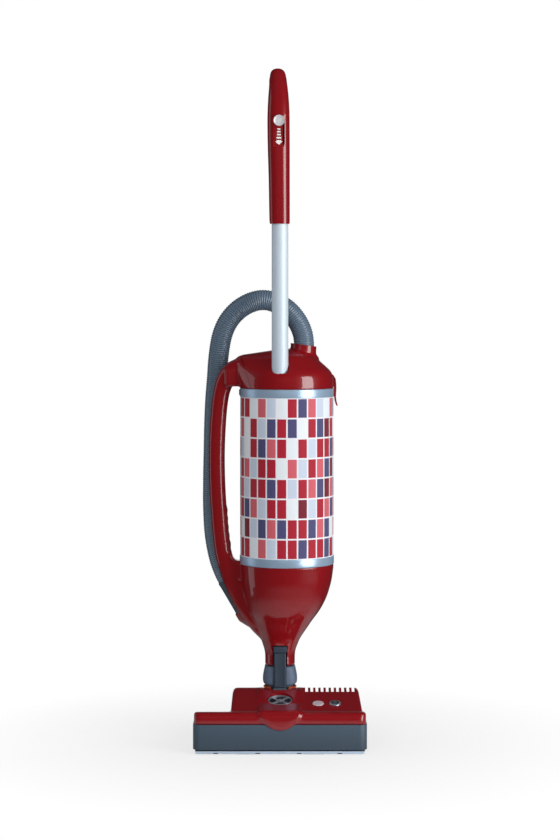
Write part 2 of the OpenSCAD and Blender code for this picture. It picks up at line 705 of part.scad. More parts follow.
// Everything to the left of the sloping seam between lid and shoulder, moved left by gap
seam_top_x = -71;
hinge_z = lid_z + 58.6;
module left_of_seam(gap) along_y(-150, 150) polygon([
    [seam_top_x - gap, lid_z + 120], [seam_top_x - gap, hinge_z], [-52 - gap, lid_z - 1],
    [-200, lid_z - 1], [-200, lid_z + 120]
]);
module hinge_room() rod_y(-27, 27, seam_top_x, hinge_z, 4.4);

slot_w = bar_w + 3;
module body_shell() color(red) difference() {
    union() {
        cone(0);
        difference() {
            union() {
                handle_limb();
                finger_rests();
            }
            // the limb stops short of the bag housing above the cone
            translate([body_x, 0, ring_z]) cylinder(r = sleeve_r + 1.6, h = lid_z - ring_z, $fn = 96);
            translate([-52, -60, lid_z - 1]) cube([60, 120, 100]);
        }
        intersection() {
            crown();
            left_of_seam(0.4);
        }
        // foot of the shoulder, beside the upper trim ring
        intersection() {
            translate([-100, -30, lid_z - 6]) cube([26, 60, 12]);
            handle_limb();
        }
    }
    difference() {
        cone(wall, 7);
        translate([-120, -120, 0]) cube([240, 240, cavity_z]);
    }
    translate([body_x, 0, ring_z - 12]) cylinder(r = sleeve_r - 3, h = 14, $fn = 96);
    intersection() {
        crown_cavity();
        translate([-70, -100, 0]) cube([200, 200, 2 * lid_z]);
    }
    translate([0, 0, stem_z - 1]) cylinder(r = duct_r + 3.2, h = connector_top + 2 - stem_z);
    air_way();
    translate([-slot_w / 2, -80, stem_z - 1]) cube([slot_w, 80 - 14, 178.6 - stem_z + 1]);
    translate([0, 0, stem_z - 10]) cylinder(r = collar_r, h = collar_top - stem_z + 10.3);
    hinge_room();
    inlet_axis() inlet_form(0.1);
    inlet_axis() translate([0, 0, -6.3]) cylinder(r = inlet_r + 0.1, h = 2, $fn = 96);
    inlet_axis() translate([0, 0, -cuff_l - 4]) cylinder(r = hose_d / 2 + 2.5, h = cuff_l);
    translate([gland_x, 50, gland_z]) rotate([-90, 0, 0]) cylinder(r = gland_r, h = 60, $fn = 96);
    for (s = [-1, 1]) translate([seam_top_x - 4.3, s * 20 - 5.6, hinge_z - 3.5]) cube([5, 11.2, 6]);
}
cavity_z = 225;

// Straight stretch at the lower end of the hose, where it plugs into the body
inlet_end = [-61, 33, 234];
inlet_from = [-102, 38, 302];
inlet_v = inlet_end - inlet_from;
cuff_l = 70;
cuff_in = 8;
turn_z = 203;
turn_to = inlet_end + 14 * inlet_v / norm(inlet_v) - [0, 0, turn_z];
turn_up = asin(turn_to[2] / norm(turn_to));

// Air way from the top of the neck's tube across to the hose
module air_way() {
    translate([0, 0, connector_top - 1]) cylinder(r = duct_r, h = turn_z - connector_top + 1);
    translate([0, 0, turn_z]) sphere(duct_r);
    translate([0, 0, turn_z]) rotate([0, 90 - turn_up, atan2(turn_to[1], turn_to[0])])
        cylinder(r = duct_r - 1, h = norm(turn_to));
}

module bag_chamber() color("whitesmoke") translate([body_x, 0, 0]) difference() {
    translate([0, 0, ring_z - 2]) cylinder(r = sleeve_r - sleeve_t - 0.5, h = lid_z - ring_z + 2);
    translate([0, 0, ring_z + 3]) cylinder(r = sleeve_r - sleeve_t - 3, h = lid_z);
    for (a = [0 : 45 : 315]) rotate(a) translate([30, 0, ring_z - 5]) cylinder(r = 8, h = 20);
    translate([0, 0, ring_z - 5]) cylinder(r = 12, h = 20);
}

module filter_sleeve() color("white") translate([body_x, 0, ring_z + ring_h]) difference() {
    cylinder(r = sleeve_r, h = sleeve_h);
    translate([0, 0, -1]) cylinder(r = sleeve_r - sleeve_t, h = sleeve_h + 2);
}

module trim_ring(z) translate([body_x, 0, z]) difference() {
    cylinder(r = sleeve_r + 0.5, h = ring_h);
    translate([0, 0, -1]) cylinder(r = sleeve_r - sleeve_t, h = ring_h + 2);
}
module ring_bottom() color(silver) trim_ring(ring_z);
module ring_top() color(silver) {
    trim_ring(top_ring_z);
    translate([body_x, 0, top_ring_z + 3]) rotate(180) translate([sleeve_r + 0.4, -5, 0])
        cube([1.2, 10, 10]);
}

// Paper bag: swollen in the middle, flat on its holder
bag_top = lid_z - 14;
module filter_bag() color("burlywood") translate([body_x, 0, 0]) rotate_extrude() polygon([
    [0, ring_z + 28], [bag_r - 22, ring_z + 30], [bag_r - 6, ring_z + 42], [bag_r, ring_z + 66],
    [bag_r, bag_top - 60], [bag_r - 5, bag_top - 30], [bag_r - 16, bag_top - 8],
    [bag_r - 18, bag_top], [19, bag_top], [19, bag_top - 20], [0, bag_top - 20]
]);

module bag_holder() color("lightgray") translate([body_x, 0, bag_top]) difference() {
    union() {
        cylinder(r = sleeve_r - sleeve_t - 3.1, h = 3);
        translate([0, 0, 3]) cylinder(r = 24, h = 6);
    }
    translate([0, 0, -1]) cylinder(r = 18, h = 20);
    for (a = [45 : 90 : 315]) rotate(a) translate([55, 0, -1]) cylinder(r = 12, h = 5);
}

module premotor_filter() color("lightsteelblue")
    translate([body_x, 0, ring_z - 11.7]) cylinder(r = sleeve_r - 3.4, h = 9.4);

// Suction motor: a can that hangs under the pre-motor filter, open at its top and bottom
can_top = ring_z - 14;
can_x = 10;
module motor_can() color("gray") translate([can_x, 0, can_top - can_h]) difference() {
    union() {
        cylinder(r = can_r, h = can_h);
        translate([0, 0, can_h - 4]) cylinder(r = can_r + 8, h = 4);
    }
    translate([0, 0, 3]) cylinder(r = can_r - 3, h = can_h - 7);
    translate([0, 0, can_h - 5]) cylinder(r = 22, h = 10);
    translate([0, 0, -1]) cylinder(r = 4 + fit, h = 6);
    for (a = [0 : 60 : 300]) rotate(a) translate([32, 0, -1]) cylinder(r = 7, h = 6);
}

module motor_seal() color("black") translate([can_x, 0, can_top]) difference() {
    cylinder(r = can_r + 8, h = 2);
    translate([0, 0, -1]) cylinder(r = 30, h = 4);
}

fan_blades = 9;
module fan_rotor() color("silver") translate([can_x, 0, can_top - can_h]) {
    translate([0, 0, 0.5]) cylinder(r = 4, h = can_h - 8);
    translate([0, 0, 8]) cylinder(r = 22, h = 26);
    translate([0, 0, can_h - 26]) cylinder(r = fan_r, h = 2);
    translate([0, 0, can_h - 24]) for (i = [0 : fan_blades - 1]) rotate(i * 360 / fan_blades)
        translate([12, -1, -eps]) rotate([0, 0, 20]) cube([fan_r - 16, 1.6, 12]);
}

module inlet_axis() translate(inlet_end)
    rotate([0, acos(inlet_v[2] / norm(inlet_v)), atan2(inlet_v[1], inlet_v[0])]) children();
inlet_r = hose_d / 2 + 3.8;
// Outside of the socket: round at its mouth, then tapered into the shell, grown by d
module inlet_form(d) {
    translate([0, 0, -6]) cylinder(r = inlet_r + d, h = 15.8, $fn = 96);
    translate([0, 0, 9.5]) cylinder(r1 = inlet_r + d, r2 = 8 + d, h = 28 + d, $fn = 96);
}
module hose_inlet() color(red) difference() {
    inlet_axis() inlet_form(0);
    inlet_axis() translate([0, 0, -7]) cylinder(r = hose_d / 2 + 2 + 0.1, h = 7 + cuff_in);
    inlet_axis() cylinder(r = hose_bore / 2, h = 14);
    air_way();
}

module hose_cuff() color(slate) inlet_axis() difference() {
    translate([0, 0, -cuff_l]) cylinder(r = hose_d / 2 + 2, h = cuff_l + cuff_in);
    translate([0, 0, -cuff_l - 1]) cylinder(r = hose_d / 2 + 0.2, h = cuff_l + 1);
    translate([0, 0, -1]) cylinder(r = hose_bore / 2, h = 20);
}

// Gland that the mains cord leaves through, low on the back of the cone
gland_x = 8;
gland_z = 250;
gland_r = 8;
module cord_inlet() color("black") translate([gland_x, 0, gland_z]) rotate([-90, 0, 0])
    difference() {
        union() {
            translate([0, 0, 62]) cylinder(r = gland_r - 0.1, h = 16);
            translate([0, 0, 78]) cylinder(r1 = gland_r - 0.1, r2 = gland_r - 2, h = 6);
        }
        cylinder(r = 3.6, h = 120);
    }

module cord_hook_lower() color(slate) difference() {
    union() {
        translate([body_x - 11, 60, ring_z - 26]) cube([22, 45, 9]);
        translate([body_x - 11, 98, ring_z - 50]) cube([22, 7, 33]);
    }
    cone(-seat);
}

knuckle_r = 3.6;
pin_r = 1.8;
module hinge_knuckles() color("dimgray") for (s = [-1, 1]) difference() {
    union() {
        rod_y(s * 20 - 5.5, s * 20 + 5.5, seam_top_x, hinge_z, knuckle_r);
        translate([seam_top_x - 4.2, s * 20 - 5.5, hinge_z - 3.4]) cube([4, 11, 4]);
    }
    rod_y(-40, 40, seam_top_x, hinge_z, pin_r + fit);
}

// ------------------------------------------------------------------ lid, tube and grip

tube_y = -66;
tube_r = tube_d / 2;
socket_z = lid_z + 8;
port_x = 44;
port_y = 4;
port_r = 22;
module lid_shell() color(red) difference() {
    union() {
        difference() {
            crown();
            crown_cavity();
        }
        intersection() {
            crown();
            union() {
                translate([0, tube_y, socket_z - 4]) cylinder(r = tube_r + 4, h = 60);
                translate([port_x, port_y, lid_z + 38]) cylinder(r = port_r + 3, h = 60);
            }
        }
    }
    left_of_seam(-0.4);
    hinge_room();
    translate([0, tube_y, socket_z]) cylinder(r = tube_r + 0.1, h = 100, $fn = 96);
    // recess in front of the tube's foot, with a rounded bottom
    translate([0, tube_y, 0]) rotate([90, 0, 0]) linear_extrude(60)
        plate_outline(-tube_r - 0.8, socket_z + 21, tube_r + 0.8, socket_z + 100, 9);
    translate([port_x, port_y, lid_z + 20]) cylinder(r = port_r + 0.1, h = 100, $fn = 96);
    translate([seam_top_x - 1, -14.1, hinge_z - 3.5]) cube([5.3, 28.2, 6]);
    rod_y(-latch_w / 2 - seat, latch_w / 2 + seat, latch_x, latch_z, 3.4);
}

module lid_seal() color("black") translate([body_x, 0, lid_z + 0.2]) difference() {
    cylinder(r = sleeve_r + 0.2 - wall, h = 4);
    translate([0, 0, -1]) cylinder(r = sleeve_r - wall - 5, h = 6);
    translate([-110, -100, -1]) cube([50, 200, 10]);
    translate([-110, -100, -1]) cube([110 - body_x, 60, 10]);
    translate([0, 0, -1]) translate([-body_x, tube_y, 0]) cylinder(r = tube_r + 4.3, h = 10);
}

module hinge_pin() color("silver") {
    rod_y(-25, 25, seam_top_x, hinge_z, pin_r);
    difference() {
        union() {
            rod_y(-14, 14, seam_top_x, hinge_z, knuckle_r);
            translate([seam_top_x + 0.2, -14, hinge_z - 3.4]) cube([4, 28, 4]);
        }
        rod_y(-30, 30, seam_top_x, hinge_z, pin_r);
    }
}

module hose_port() color(red) translate([port_x, port_y, 0]) difference() {
    translate([0, 0, lid_z + 38]) cylinder(r = port_r, h = 43);
    translate([0, 0, 690 - 0.1]) cylinder(r = hose_d / 2 + 0.1, h = 60);
    translate([0, 0, lid_z + 30]) cylinder(r = hose_bore / 2, h = 60);
}

module handle_tube() color("lightsteelblue") translate([0, tube_y, socket_z + 0.1]) difference() {
    cylinder(r = tube_r, h = grip_z + 60 - socket_z, $fn = 64);
    translate([0, 0, -1]) cylinder(r = tube_r - tube_t, h = grip_z + 70 - socket_z, $fn = 64);
}

// Sections of the grip: share of its height, X and Y of its middle, half width and half depth
grip_steps = [
    [0.000, -0.5, 0, 16.5, 16.5], [0.012, -0.6, 0, 18, 18], [0.045, -0.8, 0, 18.6, 18.8],
    [0.30, -1.5, 0, 19.2, 19.5], [0.50, -2.3, 0, 20, 20], [0.66, -2.7, 1.5, 20.2, 20],
    [0.74, -2.7, 5, 19.8, 19.2], [0.82, -2.8, 11, 18.6, 18], [0.89, -3.1, 18.5, 16.8, 16.5],
    [0.945, -3.6, 26, 15, 14], [0.982, -4, 32, 12.4, 11], [1.0, -4.2, 35, 7.5, 6]
];
function grip_ring(step, d) = let (lean = 0.55 * step[2]) [
    for (p = oval(32, step[3] + d, step[4] + d, 2.3))
        [step[1] + p[0], tube_y + step[2] + p[1], grip_z + step[0] * grip_h - p[1] * lean / 30]
];
module grip_form(d) skin([for (s = grip_steps) grip_ring(s, d)]);

knob_z = grip_z + grip_h - 94.5;
knob_x = -2;
knob_y = tube_y - 18.4;
module grip() color(red) difference() {
    grip_form(0);
    translate([0, tube_y, grip_z - 1]) cylinder(r = tube_r + 0.1, h = 61.2, $fn = 64);
    // track of the slider: a flat recess with a slot through it
    translate([knob_x - 10.5, tube_y - 40, knob_z - knob_travel - 12])
        cube([21, 40 - 18.2, knob_travel + 24]);
    translate([knob_x - 3.3, tube_y - 40, knob_z - knob_travel - 3.3])
        cube([6.6, 34, knob_travel + 6.6]);
}

module grip_pad() color("#23262b") intersection() {
    difference() {
        grip_form(1.2);
        grip_form(0.02);
    }
    translate([-40, tube_y + 6, grip_z + 0.42 * grip_h]) cube([80, 90, 0.54 * grip_h]);
}

module power_slider() color(silver) {
    translate([knob_x, knob_y, knob_z]) rotate([90, 0, 0]) {
        cylinder(r = knob_d / 2, h = 3.4);
        translate([0, 0, 3.4]) cylinder(r1 = knob_d / 2, r2 = knob_d / 2 - 1.2, h = 1.2);
        translate([0, 0, -9]) cylinder(r = 2.8, h = 9);
    }
}

// Turning hook that the cord is wound on, behind the grip
hook_z = grip_z + 24;
hook_y = tube_y + 19.4;
module hook_boss() color("dimgray") difference() {
    union() {
        rod_y(hook_y - 4, hook_y + 3, -0.5, hook_z, 9);
        rod_y(hook_y + 3, hook_y + 14, -0.5, hook_z, 3);
    }
    grip_form(0.02);
}
module cord_hook_upper() color(slate) difference() {
    union() {
        rod_y(hook_y + 3.3, hook_y + 13, -0.5, hook_z, 8);
        translate([-8.5, hook_y + 6, hook_z]) cube([16, 7, 24]);
        translate([-8.5, hook_y + 6, hook_z + 17]) cube([16, 26, 7]);
        translate([-8.5, hook_y + 26, hook_z + 17]) cube([16, 6, 22]);
    }
    rod_y(-80, 80, -0.5, hook_z, 3 + fit);
}

// Latch at the right side of the lid, and the bracket it turns in
latch_x = body_x + sleeve_r + 2.5;
latch_z = lid_z + 17;
latch_w = 20;
latch_r = 2.8;
module latch_bracket() color(red) difference() {
    union() {
        for (s = [-1, 1]) translate([latch_x - 14, s * (latch_w / 2 + 2) - 1.5, latch_z - 4])
            cube([16.5, 3, 8]);
        rod_y(-latch_w / 2 - 3, latch_w / 2 + 3, latch_x, latch_z, 1.5);
    }
    crown();
}

module lid_latch() color(red) difference() {
    union() {
        rod_y(-latch_w / 2, latch_w / 2, latch_x, latch_z, latch_r);
        along_y(-latch_w / 2, latch_w / 2) polygon([
            [latch_x - 1.6, latch_z - 2], [latch_x - 1.6, lid_z - 14], [latch_x - 0.6, lid_z - 22],
            [latch_x + 0.6, lid_z - 28], [latch_x + 5.2, lid_z - 34], [latch_x + 5.6, lid_z - 31],
            [latch_x + 3.6, lid_z - 18], [latch_x + 2.2, lid_z], [latch_x + latch_r, latch_z]
        ]);
    }
    rod_y(-40, 40, latch_x, latch_z, 1.5 + fit);
}

// ------------------------------------------------------------------ suction hose

// Points that the hose passes, from the lid's port over the arch and down behind the handle
hose_points = [
    [44, 4, 690], [44, 4, 709], [44, 4, 728], [41, 5, 748], [31, 6, 770], [14, 7, 790],
    [-8, 9, 803], [-32, 11, 808], [-57, 14, 802], [-80, 17, 787], [-97, 20, 766],
    [-107, 24, 742], [-112, 29, 716], [-115, 34, 690], [-117, 37, 662], [-120, 38, 625],
    [-122, 38, 580], [-123, 38, 530], [-124, 38, 478], [-124, 38, 425], [-121, 38, 375],
    [-113, 38.5, 332], inlet_from, inlet_from + 0.25 * inlet_v, inlet_from + 0.5 * inlet_v,
    inlet_from + 0.75 * inlet_v, inlet_end
];
ribs = 190;

// Point of the smooth curve through the points, at u from 0 to 1 of the stretch after point i
function hose_at(i, u) = let (
    n = len(hose_points) - 1,
    a = hose_points[max(i - 1, 0)], b = hose_points[i],
    c = hose_points[min(i + 1, n)], d = hose_points[min(i + 2, n)])
    0.5 * (2 * b + (c - a) * u + (2 * a - 5 * b + 4 * c - d) * u * u
        + (3 * b - a - 3 * c + d) * u * u * u);

// Lengths from the start of the hose to each of its points
function lengths_to(i) = i == 0 ? [0]
    : let (before = lengths_to(i - 1))
        concat(before, before[i - 1] + norm(hose_points[i] - hose_points[i - 1]));
hose_lengths = lengths_to(len(hose_points) - 1);
hose_length = hose_lengths[len(hose_lengths) - 1];

function stretch_of(s, i = 0) = i >= len(hose_lengths) - 2 || hose_lengths[i + 1] >= s ? i
    : stretch_of(s, i + 1);
function hose_point(s) = let (i = stretch_of(s))
    hose_at(i, (s - hose_lengths[i]) / (hose_lengths[i + 1] - hose_lengths[i]));
function hose_dir(s) = let (
    a = hose_point(max(s - 1, 0)), b = hose_point(min(s + 1, hose_length))) (b - a) / norm(b - a);
function hose_ring(s, r, n) = let (
    t = hose_dir(s), u = cross([0, 1, 0], t) / norm(cross([0, 1, 0], t)), v = cross(t, u))
    [for (j = [0 : n - 1]) hose_point(s) + r * cos(360 * j / n) * u + r * sin(360 * j / n) * v];

rib_pitch = (hose_length - 2 * hose_d) / ribs;
groove = 1.3;
hose_r = hose_d / 2;
sides = 8;
hose_outer = concat(
    [hose_ring(0.1, hose_r - groove, sides), hose_ring(hose_d - 1, hose_r - groove, sides)],
    [for (k = [0 : ribs - 1]) each [
        hose_ring(hose_d + (k + 0.25) * rib_pitch, hose_r, sides),
        hose_ring(hose_d + (k + 0.75) * rib_pitch, hose_r - groove, sides)
    ]],
    [hose_ring(hose_length - hose_d + 1, hose_r - groove, sides),
        hose_ring(hose_length - 0.1, hose_r - groove, sides)]
);
bore_rings = 52;
hose_inner = [for (k = [0 : bore_rings])
    hose_ring(0.1 + k * (hose_length - 0.2) / bore_rings, hose_bore / 2, sides)];

// One tube: outer skin, inner skin turned round, and a flat ring at each end
module tube_skin(outer, inner, n) {
    a = len(outer);
    b = len(inner);
    o = a * n;
    polyhedron(
        points = concat([for (r = outer) each r], [for (r = inner) each r]),
        faces = concat(
            [for (i = [0 : a - 2], j = [0 : n - 1]) let (k = (j + 1) % n)
                each [[i * n + j, (i + 1) * n + k, i * n + k], [i * n + j, (i + 1) * n + j, (i + 1) * n + k]]],
            [for (i = [0 : b - 2], j = [0 : n - 1]) let (k = (j + 1) % n)
                each [[o + i * n + j, o + i * n + k, o + (i + 1) * n + k],
                    [o + i * n + j, o + (i + 1) * n + k, o + (i + 1) * n + j]]],
            [for (j = [0 : n - 1]) let (k = (j + 1) % n)
                each [[j, o + k, o + j], [j, k, o + k]]],
            [for (j = [0 : n - 1]) let (k = (j + 1) % n, p = (a - 1) * n, q = o + (b - 1) * n)
                each [[p + j, q + k, p + k], [p + j, q + j, q + k]]]
        ),
        convexity = 10);
}
module suction_hose() color(slate) tube_skin(hose_outer, hose_inner, sides);

// Least gap of the hose to itself, between points more than two and a half diameters apart
gap_points = [for (k = [0 : 60]) hose_point(k * hose_length / 60)];
gap_skip = ceil(2.5 * hose_d / (hose_length / 60));
hose_gap = min([for (i = [0 : 60 - gap_skip], j = [i + gap_skip : 60])
    norm(gap_points[i] - gap_points[j])]) - hose_d;
echo(hose_length = hose_length, rib_pitch = rib_pitch, least_gap_of_hose_to_itself = hose_gap);

// ------------------------------------------------------------------ nodes

sole_plate();
glide_strips();
bumper();
lip_strip();
head_cover();
brush_tunnel();
suction_elbow();
brush_motor();
drive_belt();
brush_bearings();
axle_pins();
status_lamp();
control_board();
sole_screws();
brush_core();
brush_bristles();
motor_pulley();
rear_wheel_left();
rear_wheel_right();
front_roller_left();
front_roller_right();
roller_carriage();
height_dial();
brush_button();
release_pedal();
tilt_barrel();
swivel_ring();
neck_collar();
neck_connector();
neck_button();
body_shell();
bag_chamber();
filter_sleeve();
ring_bottom();
ring_top();
filter_bag();
bag_holder();
premotor_filter();
motor_can();
motor_seal();
fan_rotor();
hose_inlet();
hose_cuff();
suction_hose();
cord_inlet();
cord_hook_lower();
hinge_knuckles();
lid_shell();
lid_seal();
hinge_pin();
hose_port();
handle_tube();
grip();
grip_pad();
power_slider();
cord_hook_upper();
hook_boss();
latch_bracket();
lid_latch();
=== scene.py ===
"""Dresses an upright vacuum cleaner: smooth glossy mouldings, a ribbed hose, a printed filter sleeve,
a power head and a white studio. Metres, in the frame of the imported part."""

import bisect
import json
import math

import bmesh
import bpy
from mathutils import Matrix, Vector


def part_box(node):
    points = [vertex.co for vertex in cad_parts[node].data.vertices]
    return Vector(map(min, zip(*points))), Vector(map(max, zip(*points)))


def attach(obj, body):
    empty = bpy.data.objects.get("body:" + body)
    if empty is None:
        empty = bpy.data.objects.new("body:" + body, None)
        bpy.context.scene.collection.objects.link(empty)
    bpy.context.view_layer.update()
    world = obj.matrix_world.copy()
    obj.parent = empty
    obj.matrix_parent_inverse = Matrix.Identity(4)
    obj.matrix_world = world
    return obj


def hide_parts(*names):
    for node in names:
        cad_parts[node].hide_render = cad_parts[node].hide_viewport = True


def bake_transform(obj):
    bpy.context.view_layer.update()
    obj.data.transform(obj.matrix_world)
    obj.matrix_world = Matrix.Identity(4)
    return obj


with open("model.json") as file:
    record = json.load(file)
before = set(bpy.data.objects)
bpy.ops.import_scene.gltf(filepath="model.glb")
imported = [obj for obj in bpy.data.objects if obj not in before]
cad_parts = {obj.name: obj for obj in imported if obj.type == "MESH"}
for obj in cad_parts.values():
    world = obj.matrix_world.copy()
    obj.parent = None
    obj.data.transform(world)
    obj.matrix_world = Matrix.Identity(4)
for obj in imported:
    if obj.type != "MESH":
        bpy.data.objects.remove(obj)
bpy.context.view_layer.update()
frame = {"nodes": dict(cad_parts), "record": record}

bl_info = {
    "name": "Upright vacuum cleaner",
    "version": (1, 0, 0),
    "blender": (4, 5, 0),
    "location": "View3D > Sidebar > Vacuum",
    "description": "Builds the visible pieces of an upright vacuum cleaner and its studio",
    "category": "Object",
}

MM = 0.001

# ------------------------------------------------------------------ places read from the frame


def middle(node):
    low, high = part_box(node)
    return (low + high) / 2


SLEEVE_LO, SLEEVE_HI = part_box("filter_sleeve")
BODY_X = middle("filter_sleeve").x
SLEEVE_R = (SLEEVE_HI.x - SLEEVE_LO.x) / 2
RING_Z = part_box("ring_bottom")[0].z
LID_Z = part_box("ring_top")[1].z
STEM_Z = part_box("body_shell")[0].z
TUBE_LO, TUBE_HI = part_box("handle_tube")
TUBE_Y = middle("handle_tube").y
TUBE_R = (TUBE_HI.x - TUBE_LO.x) / 2
GRIP_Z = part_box("grip")[0].z
HEAD_LO, HEAD_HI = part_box("bumper")
COVER_LO, COVER_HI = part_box("head_cover")
CREST_Z = COVER_HI.z
HEAD_BACK = COVER_HI.y
SOLE_TOP = COVER_LO.z
BAND_Z = HEAD_HI.z + 21 * MM
NOSE_TILT = math.radians(7)
DIAL_TILT = math.radians(12)
DIAL_Y = -65 * MM
DIAL_Z = 84 * MM
DIAL_R = (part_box("height_dial")[1].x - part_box("height_dial")[0].x) / 2
BUTTON_X = middle("brush_button").x
LAMP_X = middle("status_lamp").x
BUTTON_Y = -80 * MM
SLOPE_Y = HEAD_LO.y + 18 * MM
SLOPE = math.radians(15.2)
ABOVE = 0.9  # higher than the lid, for what cuts up through it


def slope_z(y):
    """Height of the housing's sloping roof at y."""
    return BAND_Z + (y - SLOPE_Y) * math.tan(SLOPE)


# ------------------------------------------------------------------ settings


def linear(code):
    """A colour written as sRGB hex, as the linear numbers that Blender uses."""
    values = [int(code[i : i + 2], 16) / 255 for i in (1, 3, 5)]
    return [v / 12.92 if v <= 0.04045 else ((v + 0.055) / 1.055) ** 2.4 for v in values]


def colour_setting(name, code, description):
    return bpy.props.FloatVectorProperty(
        name=name, description=description, subtype="COLOR", size=3, min=0, max=1, default=linear(code)
    )


def length_setting(name, default, description):
    return bpy.props.FloatProperty(name=name, description=description, unit="LENGTH", default=default)


def number_setting(name, default, description):
    return bpy.props.FloatProperty(name=name, description=description, default=default)


def count_setting(name, default, least, description):
    return bpy.props.IntProperty(name=name, description=description, default=default, min=least)


class VacuumColours(bpy.types.PropertyGroup):
    """Colours of the pieces that show."""

    red: colour_setting("Red", "#8C0610", "Glossy mouldings")
    slate: colour_setting("Slate", "#46545F", "Neck, bumper and hooks")
    hose: colour_setting("Hose", "#677A8D", "Ribs of the hose")
    silver: colour_setting("Silver", "#BCC3CE", "Trim rings, dial and buttons")
    tube: colour_setting("Tube", "#DEEBF7", "Anodised handle tube")
    ground: colour_setting("Sleeve ground", "#F1F0F5", "Fleece between the printed tiles")


class VacuumSizes(bpy.types.PropertyGroup):
    """Sizes of the pieces that show."""

    rib_pitch: length_setting("Rib pitch", 3.83 * MM, "From one rib of the hose to the next")
    rib_depth: length_setting("Rib depth", 1.0 * MM, "Depth of the groove between ribs")
    tile_columns: count_setting("Tile columns", 28, 6, "Printed tiles round the sleeve")
    tile_rows: count_setting("Tile rows", 8, 2, "Printed tiles up the sleeve")
    tile_gap: length_setting("Tile gap", 2.8 * MM, "White line between tiles")
    voxel: length_setting("Voxel", 1.5 * MM, "Grain at which mouldings are fused")


class VacuumStage(bpy.types.PropertyGroup):
    """Camera and light."""

    distance: length_setting("Distance", 4.02, "Camera to the neck's axis")
    height: length_setting("Height", 0.799, "Camera above the floor")
    lens: number_setting("Lens", 93.9, "Focal length in mm")
    shift: number_setting("Shift", -0.137, "Vertical shift that frames the object")
    key: number_setting("Key light", 60, "Power of the tall right lamp")
    rim: number_setting("Rim light", 6, "Power of the tall left lamp")
    front: number_setting("Front light", 30, "Power of the lamp by the camera")
    top: number_setting("Top light", 7, "Power of the lamp above")


# ------------------------------------------------------------------ mesh helpers


def finish(bm, name, material=None, sharp=38, normals=True):
    """Makes an object of a bmesh: outward normals, smooth faces, sharp edges past an angle."""
    if normals:
        bmesh.ops.recalc_face_normals(bm, faces=bm.faces)
    for face in bm.faces:
        face.smooth = True
    limit = math.radians(sharp)
    for edge in bm.edges:
        edge.smooth = len(edge.link_faces) == 2 and edge.calc_face_angle(0) < limit
    mesh = bpy.data.meshes.new(name)
    bm.to_mesh(mesh)
    bm.free()
    made = bpy.data.objects.new(name, mesh)
    bpy.context.scene.collection.objects.link(made)
    if material:
        mesh.materials.append(material)
    return made


def piece(bm, name, body, slot, nodes=(), material=None, sharp=38, normals=True):
    """A finished piece that rides a body and stands for CAD nodes, in its slot's material or a finer one."""
    made = finish(bm, name, MATERIALS[material or slot], sharp, normals)
    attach(made, body)
    if nodes:
        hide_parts(*nodes)
    return made


def moved(bm, matrix):
    bmesh.ops.transform(bm, matrix=matrix, verts=bm.verts)
    return bm


def grid(bm, across, along, **settings):
    """Vertices of a flat grid, each with its shares of the width and of the length."""
    made = bmesh.ops.create_grid(bm, x_segments=across, y_segments=along, size=0.5, **settings)["verts"]
    low = min(v.co.x for v in made)
    wide = max(v.co.x for v in made) - low
    return [(v, (v.co.x - low) / wide, (v.co.y - low) / wide) for v in made]


def wrap(place, around, along):
    """A grid bent into a closed tube; place(turn, rise) gives the point at shares of turn and length."""
    bm = bmesh.new()
    rows = along + 2
    centres = {}
    for vert, turn, rise in grid(bm, around, rows):
        row = round(rise * rows)
        step = min(max(row - 1, 0), along)
        if row in (0, rows):
            if row not in centres:
                centres[row] = sum([place(k / 16, step / along) for k in range(16)], Vector()) / 16
            vert.co = centres[row]
        else:
            vert.co = place(turn % 1, step / along)
    bmesh.ops.remove_doubles(bm, verts=bm.verts, dist=1e-6)
    return bm


def wrap_open(place, across, along):
    """A grid bent onto a surface, with all its edges open."""
    bm = bmesh.new()
    for vert, turn, rise in grid(bm, across, along):
        vert.co = place(turn, rise)
    return bm


def lathe(points, segments=96, centre=(0, 0), bm=None):
    """Solid turned from (radius, height) points round an upright axis."""
    bm = bm or bmesh.new()
    verts = [bm.verts.new((centre[0] + r, centre[1], z)) for r, z in points]
    edges = [bm.edges.new(pair) for pair in zip(verts, verts[1:])]
    if points[0][0] > 0 and points[-1][0] > 0:
        edges.append(bm.edges.new((verts[-1], verts[0])))
    bmesh.ops.spin(
        bm, geom=verts + edges, cent=(*centre, 0), axis=(0, 0, 1), angle=2 * math.pi, steps=segments,
        use_merge=True,
    )
    bmesh.ops.remove_doubles(bm, verts=bm.verts, dist=1e-6)
    return bm


def prism(outline, direction, low, high):
    """Solid with a flat outline, pushed along X, Y or Z from low to high."""
    bm = bmesh.new()
    order = {"X": lambda a, b: (low, a, b), "Y": lambda a, b: (a, low, b), "Z": lambda a, b: (a, b, low)}
    verts = [bm.verts.new(order[direction](*point)) for point in outline]
    face = bm.faces.new(verts)
    pushed = bmesh.ops.extrude_face_region(bm, geom=[face])["geom"]
    step = Vector([high - low if axis == direction else 0 for axis in "XYZ"])
    bmesh.ops.translate(bm, verts=[v for v in pushed if isinstance(v, bmesh.types.BMVert)], vec=step)
    bmesh.ops.recalc_face_normals(bm, faces=bm.faces)
    return bm


def block(low, high, radius=0.0, segments=3, bm=None):
    """Box between two corners, with rounded edges."""
    new = bmesh.new()
    size = Vector(high) - Vector(low)
    matrix = Matrix.Translation((Vector(low) + Vector(high)) / 2) @ Matrix.Diagonal((*size, 1))
    bmesh.ops.create_cube(new, size=1, matrix=matrix)
    if radius:
        round_edges(new, radius, segments)
    return merge(bm, new)


def merge(bm, new):
    """Adds one bmesh to another."""
    if bm is None:
        return new
    mesh = bpy.data.meshes.new("merge")
    new.to_mesh(mesh)
    new.free()
    bm.from_mesh(mesh)
    bpy.data.meshes.remove(mesh)
    return bm


